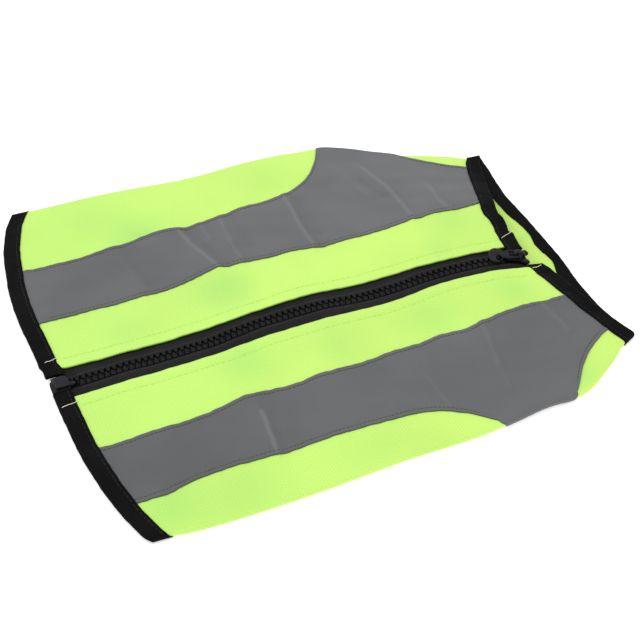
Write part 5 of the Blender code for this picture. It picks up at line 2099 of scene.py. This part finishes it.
@dataclass
class Stitching:
    """The rows of stitches on the panels, strips, bindings and tapes."""

    rows: RowTree

    def stitch(self, length: float, radius: float, sunk: float = 0.7) -> bpy.types.Object:
        """One stitch: a short thread whose ends dip into the cloth.

        Args:
            length: its length.
            radius: its radius.
            sunk: how far its ends dip, in radii.

        Returns:
            The stitch, about its own origin.
        """
        solids = Solids()
        places = ((-0.5, -1.0), (-0.36, -0.2), (-0.15, 0.3), (0.15, 0.3), (0.36, -0.2), (0.5, -1.0))
        path = [Vector((share * length, 0.0, dip * radius * sunk)) for share, dip in places]
        solids.add_tube(path, radius, sides=6)
        return solids.placed("stitch", Matrix.Identity(4), sharp=60.0)

    def rib(self) -> bpy.types.Object:
        """One yarn over the cord of a zip tape, across it.

        Returns:
            The yarn, about its own origin.
        """
        solids = Solids()
        places = ((-0.75, -0.3), (-0.3, 0.0), (0.3, 0.0), (0.7, -0.3))
        solids.add_tube([Vector((0.0, *place)) for place in places], 0.17, sides=5)
        return solids.placed("rib", Matrix.Identity(4), sharp=60.0)

    def lay(self, name: str, lines: list[tuple[np.ndarray, np.ndarray]], stitch: bpy.types.Object,
            finish: Finish, pitch: float, seed: int) -> None:
        """Lays rows of one kind of stitch.

        Args:
            name: the piece's name.
            lines: each row's points and which way is up at each.
            stitch: the stitch, used up here.
            finish: the thread.
            pitch: the distance from one to the next.
            seed: the seed of their uneven lengths.
        """
        piece = self.rows.lay(name, lines, stitch, finish, pitch, 0.12, seed)
        bpy.data.objects.remove(stitch)
        soften(piece.data, 60.0)
        settle(piece, finish, "vest")

    @staticmethod
    def on_panel(side: Side, x: np.ndarray, reach: np.ndarray, lift: float) -> tuple[np.ndarray, np.ndarray]:
        """A line on the upper layer, this far from the zip's hem end, and which way is up at each point."""
        return line_over(side, x, SKIN.across_at(side, x, side.sign * reach), lift)

    @staticmethod
    def between_bindings(side: Side, x: np.ndarray, reach: float, gap: float = 0.0) -> np.ndarray:
        """The places along that are clear of both bindings by a gap, this far from the zip's hem end."""
        across = SKIN.across_at(side, x, side.sign * reach)
        return x[(x > HEM.inside(side, across) + gap) & (x < NECK.inside(side, across) - gap)]

    def build(self, strips: dict[Side, ReflectiveStrip], bindings: list[Binding]) -> None:
        """Makes every row of stitches.

        Args:
            strips: the reflective strips, sewn on along both edges.
            bindings: the bindings of the hem and the neck.
        """
        grey, neon, ribs = [], [], []
        for side, strip in strips.items():
            low = SKIN.wall / 2 + strip.gap + strip.wall - 0.1
            turn_start, turn_end = SKIN.turns[side]
            x = self.between_bindings(side, spread(6.0, 248.0, 900), 46.0)
            grey.append(self.on_panel(side, x, strip.inner_edge(x) + strip.stitch_from_edge, low))
            for places, reach in ((spread(10.0, turn_start - 6.5, 700), 82.0),
                                  (spread(turn_end + 5.0, 252.0, 120), 74.0)):
                x = self.between_bindings(side, places, reach, 0.5)
                grey.append(self.on_panel(side, x, strip.outer_edge(x) - strip.stitch_from_edge, low))
            x = spread(8.0, 236.0, 900)
            reach = side.sign * ZIP.at(x, side.value) + SKIN.zip_seam
            neon.append(self.on_panel(side, x, reach, SKIN.wall / 2 + 0.05))
            x = spread(10.0, 234.0, 900)
            line = ZIP_LINE.points(4.0, x, 0.42, side)
            ribs.append((line, ZIP_LINE.points(4.0, x, 1.42, side) - line))
        black = [binding.stitch_line(side) for binding in bindings for side in Side]
        self.lay("strip_stitches", grey, self.stitch(1.4, 0.18), GREY_THREAD, 2.0, 3)
        self.lay("zip_edge_stitches", neon, self.stitch(2.1, 0.14), NEON_THREAD, 2.7, 5)
        self.lay("binding_stitches", black, self.stitch(2.0, 0.16), BLACK_THREAD, 2.7, 7)
        self.lay("tape_ribs", ribs, self.rib(), TAPE_YARN, 0.75, 9)


@dataclass
class CrossStitches:
    """The pale stitches that hold the bindings' ends beside the zip."""

    rows: RowTree
    hem: tuple[tuple[float, float, float, float], ...] = (
        (-1.0, 14.7, 2.9, 15.4), (-1.0, -16.3, 4.8, -15.7))
    neck: tuple[tuple[float, float, float, float], ...] = (
        (240.6, 6.7, 246.8, 8.6), (243.8, -20.6, 247.3, -20.35))

    def build(self) -> None:
        """Makes the four rows."""
        solids = Solids()
        path = [Vector((share * 2.1, 0.0, dip * 0.2)) for share, dip in
                ((-0.5, -1.2), (-0.3, 0.0), (0.0, 0.3), (0.3, 0.0), (0.5, -1.2))]
        solids.add_tube(path, 0.16, sides=8)
        stitch = solids.placed("stitch", Matrix.Identity(4), sharp=60.0)
        lines = []
        for x0, y0, x1, y1 in self.hem + self.neck:
            side = Side.LEFT if y0 > 0 else Side.RIGHT
            x = spread(x0, x1, 40)
            y = spread(y0, y1, 40) + 0.25 * np.sin(spread(0.0, 9.0, 40))
            lines.append(line_over(side, x, SKIN.across_at(side, x, y), BINDING_HALF + 0.12))
        piece = self.rows.lay("cross_stitches", lines, stitch, WHITE_THREAD, 1.9, 0.15, 11)
        bpy.data.objects.remove(stitch)
        soften(piece.data, 60.0)
        settle(piece, WHITE_THREAD, "vest")


# ---- Studio ----


@dataclass
class Studio:
    """A plain pale floor, soft light and the camera."""

    camera_place: tuple[float, float, float] = (-0.1824, -0.4468, 0.4490)
    tilt: float = math.radians(46.0)
    turn: float = math.radians(-23.2)
    lens: float = 73.125
    sky: float = 0.95
    lamp: float = 7.0
    floor_size: float = 12.0

    def build_floor(self) -> None:
        """Makes the floor, just under the vest."""
        half = self.floor_size / 2
        mesh = bpy.data.meshes.new("floor")
        corners = [(x * half, y * half, 0.0) for x, y in ((-1, -1), (1, -1), (1, 1), (-1, 1))]
        mesh.from_pydata(corners, [], [(0, 1, 2, 3)])
        floor = add_object("floor", mesh)
        WARDROBE.dress(floor, PAPER)

    def build_light(self) -> None:
        """Makes the even light all round and one large soft lamp."""
        world = bpy.data.worlds.new("studio")
        bpy.context.scene.world = world
        world.use_nodes = True
        back = world.node_tree.nodes["Background"]
        back.inputs["Color"].default_value = (1.0, 1.0, 1.0, 1.0)
        back.inputs["Strength"].default_value = self.sky
        for name, place, size, power in (("key", (-0.9, 0.5, 1.3), 0.9, self.lamp),
                                         ("fill", (0.9, -0.9, 1.2), 1.2, self.lamp * 0.35)):
            lamp = bpy.data.lights.new(name, "AREA")
            lamp.shape = "DISK"
            lamp.size = size
            lamp.energy = power
            made = add_object(name, lamp)
            made.location = place
            made.rotation_euler = (-Vector(place)).to_track_quat("-Z", "Y").to_euler()

    def build_camera(self) -> None:
        """Makes the camera at the photograph's viewing angle."""
        data = bpy.data.cameras.new("camera")
        data.lens = self.lens
        data.sensor_width = 36.0
        data.clip_start = 0.01
        made = add_object("camera", data)
        made.location = self.camera_place
        made.rotation_euler = (self.tilt, 0.0, self.turn)
        bpy.context.scene.camera = made

    def build(self) -> None:
        """Makes all of it."""
        bpy.context.scene.view_settings.view_transform = "Standard"
        self.build_floor()
        self.build_light()
        self.build_camera()


def main() -> None:
    """Builds the studio and then every piece of the vest, in order."""
    logging.basicConfig(level=logging.INFO, format="%(name)s: %(message)s")
    Studio().build()
    belly = BellyPanel()
    belly.build()
    for side in Side:
        SidePanel(side).build()
        LegBinding(side, belly).build()
        ZipTape(side).build()
    strips = {side: ReflectiveStrip(side) for side in Side}
    for strip in strips.values():
        strip.build()
    bindings = [Binding("hem_binding_tape", "hem_binding", HEM, {Side.LEFT: 7.4, Side.RIGHT: 4.9}),
                Binding("neck_binding_tape", "neck_binding", NECK, {Side.LEFT: 7.6, Side.RIGHT: 6.2})]
    for binding in bindings:
        binding.build()
    rows = RowTree("rows_along_lines")
    ZipTeeth(rows).build()
    ZipBox().build()
    slider = ZipSlider()
    slider.build_slider()
    slider.build_pull()
    Stitching(rows).build(strips, bindings)
    CrossStitches(rows).build()


if __name__ == "__main__":
    main()
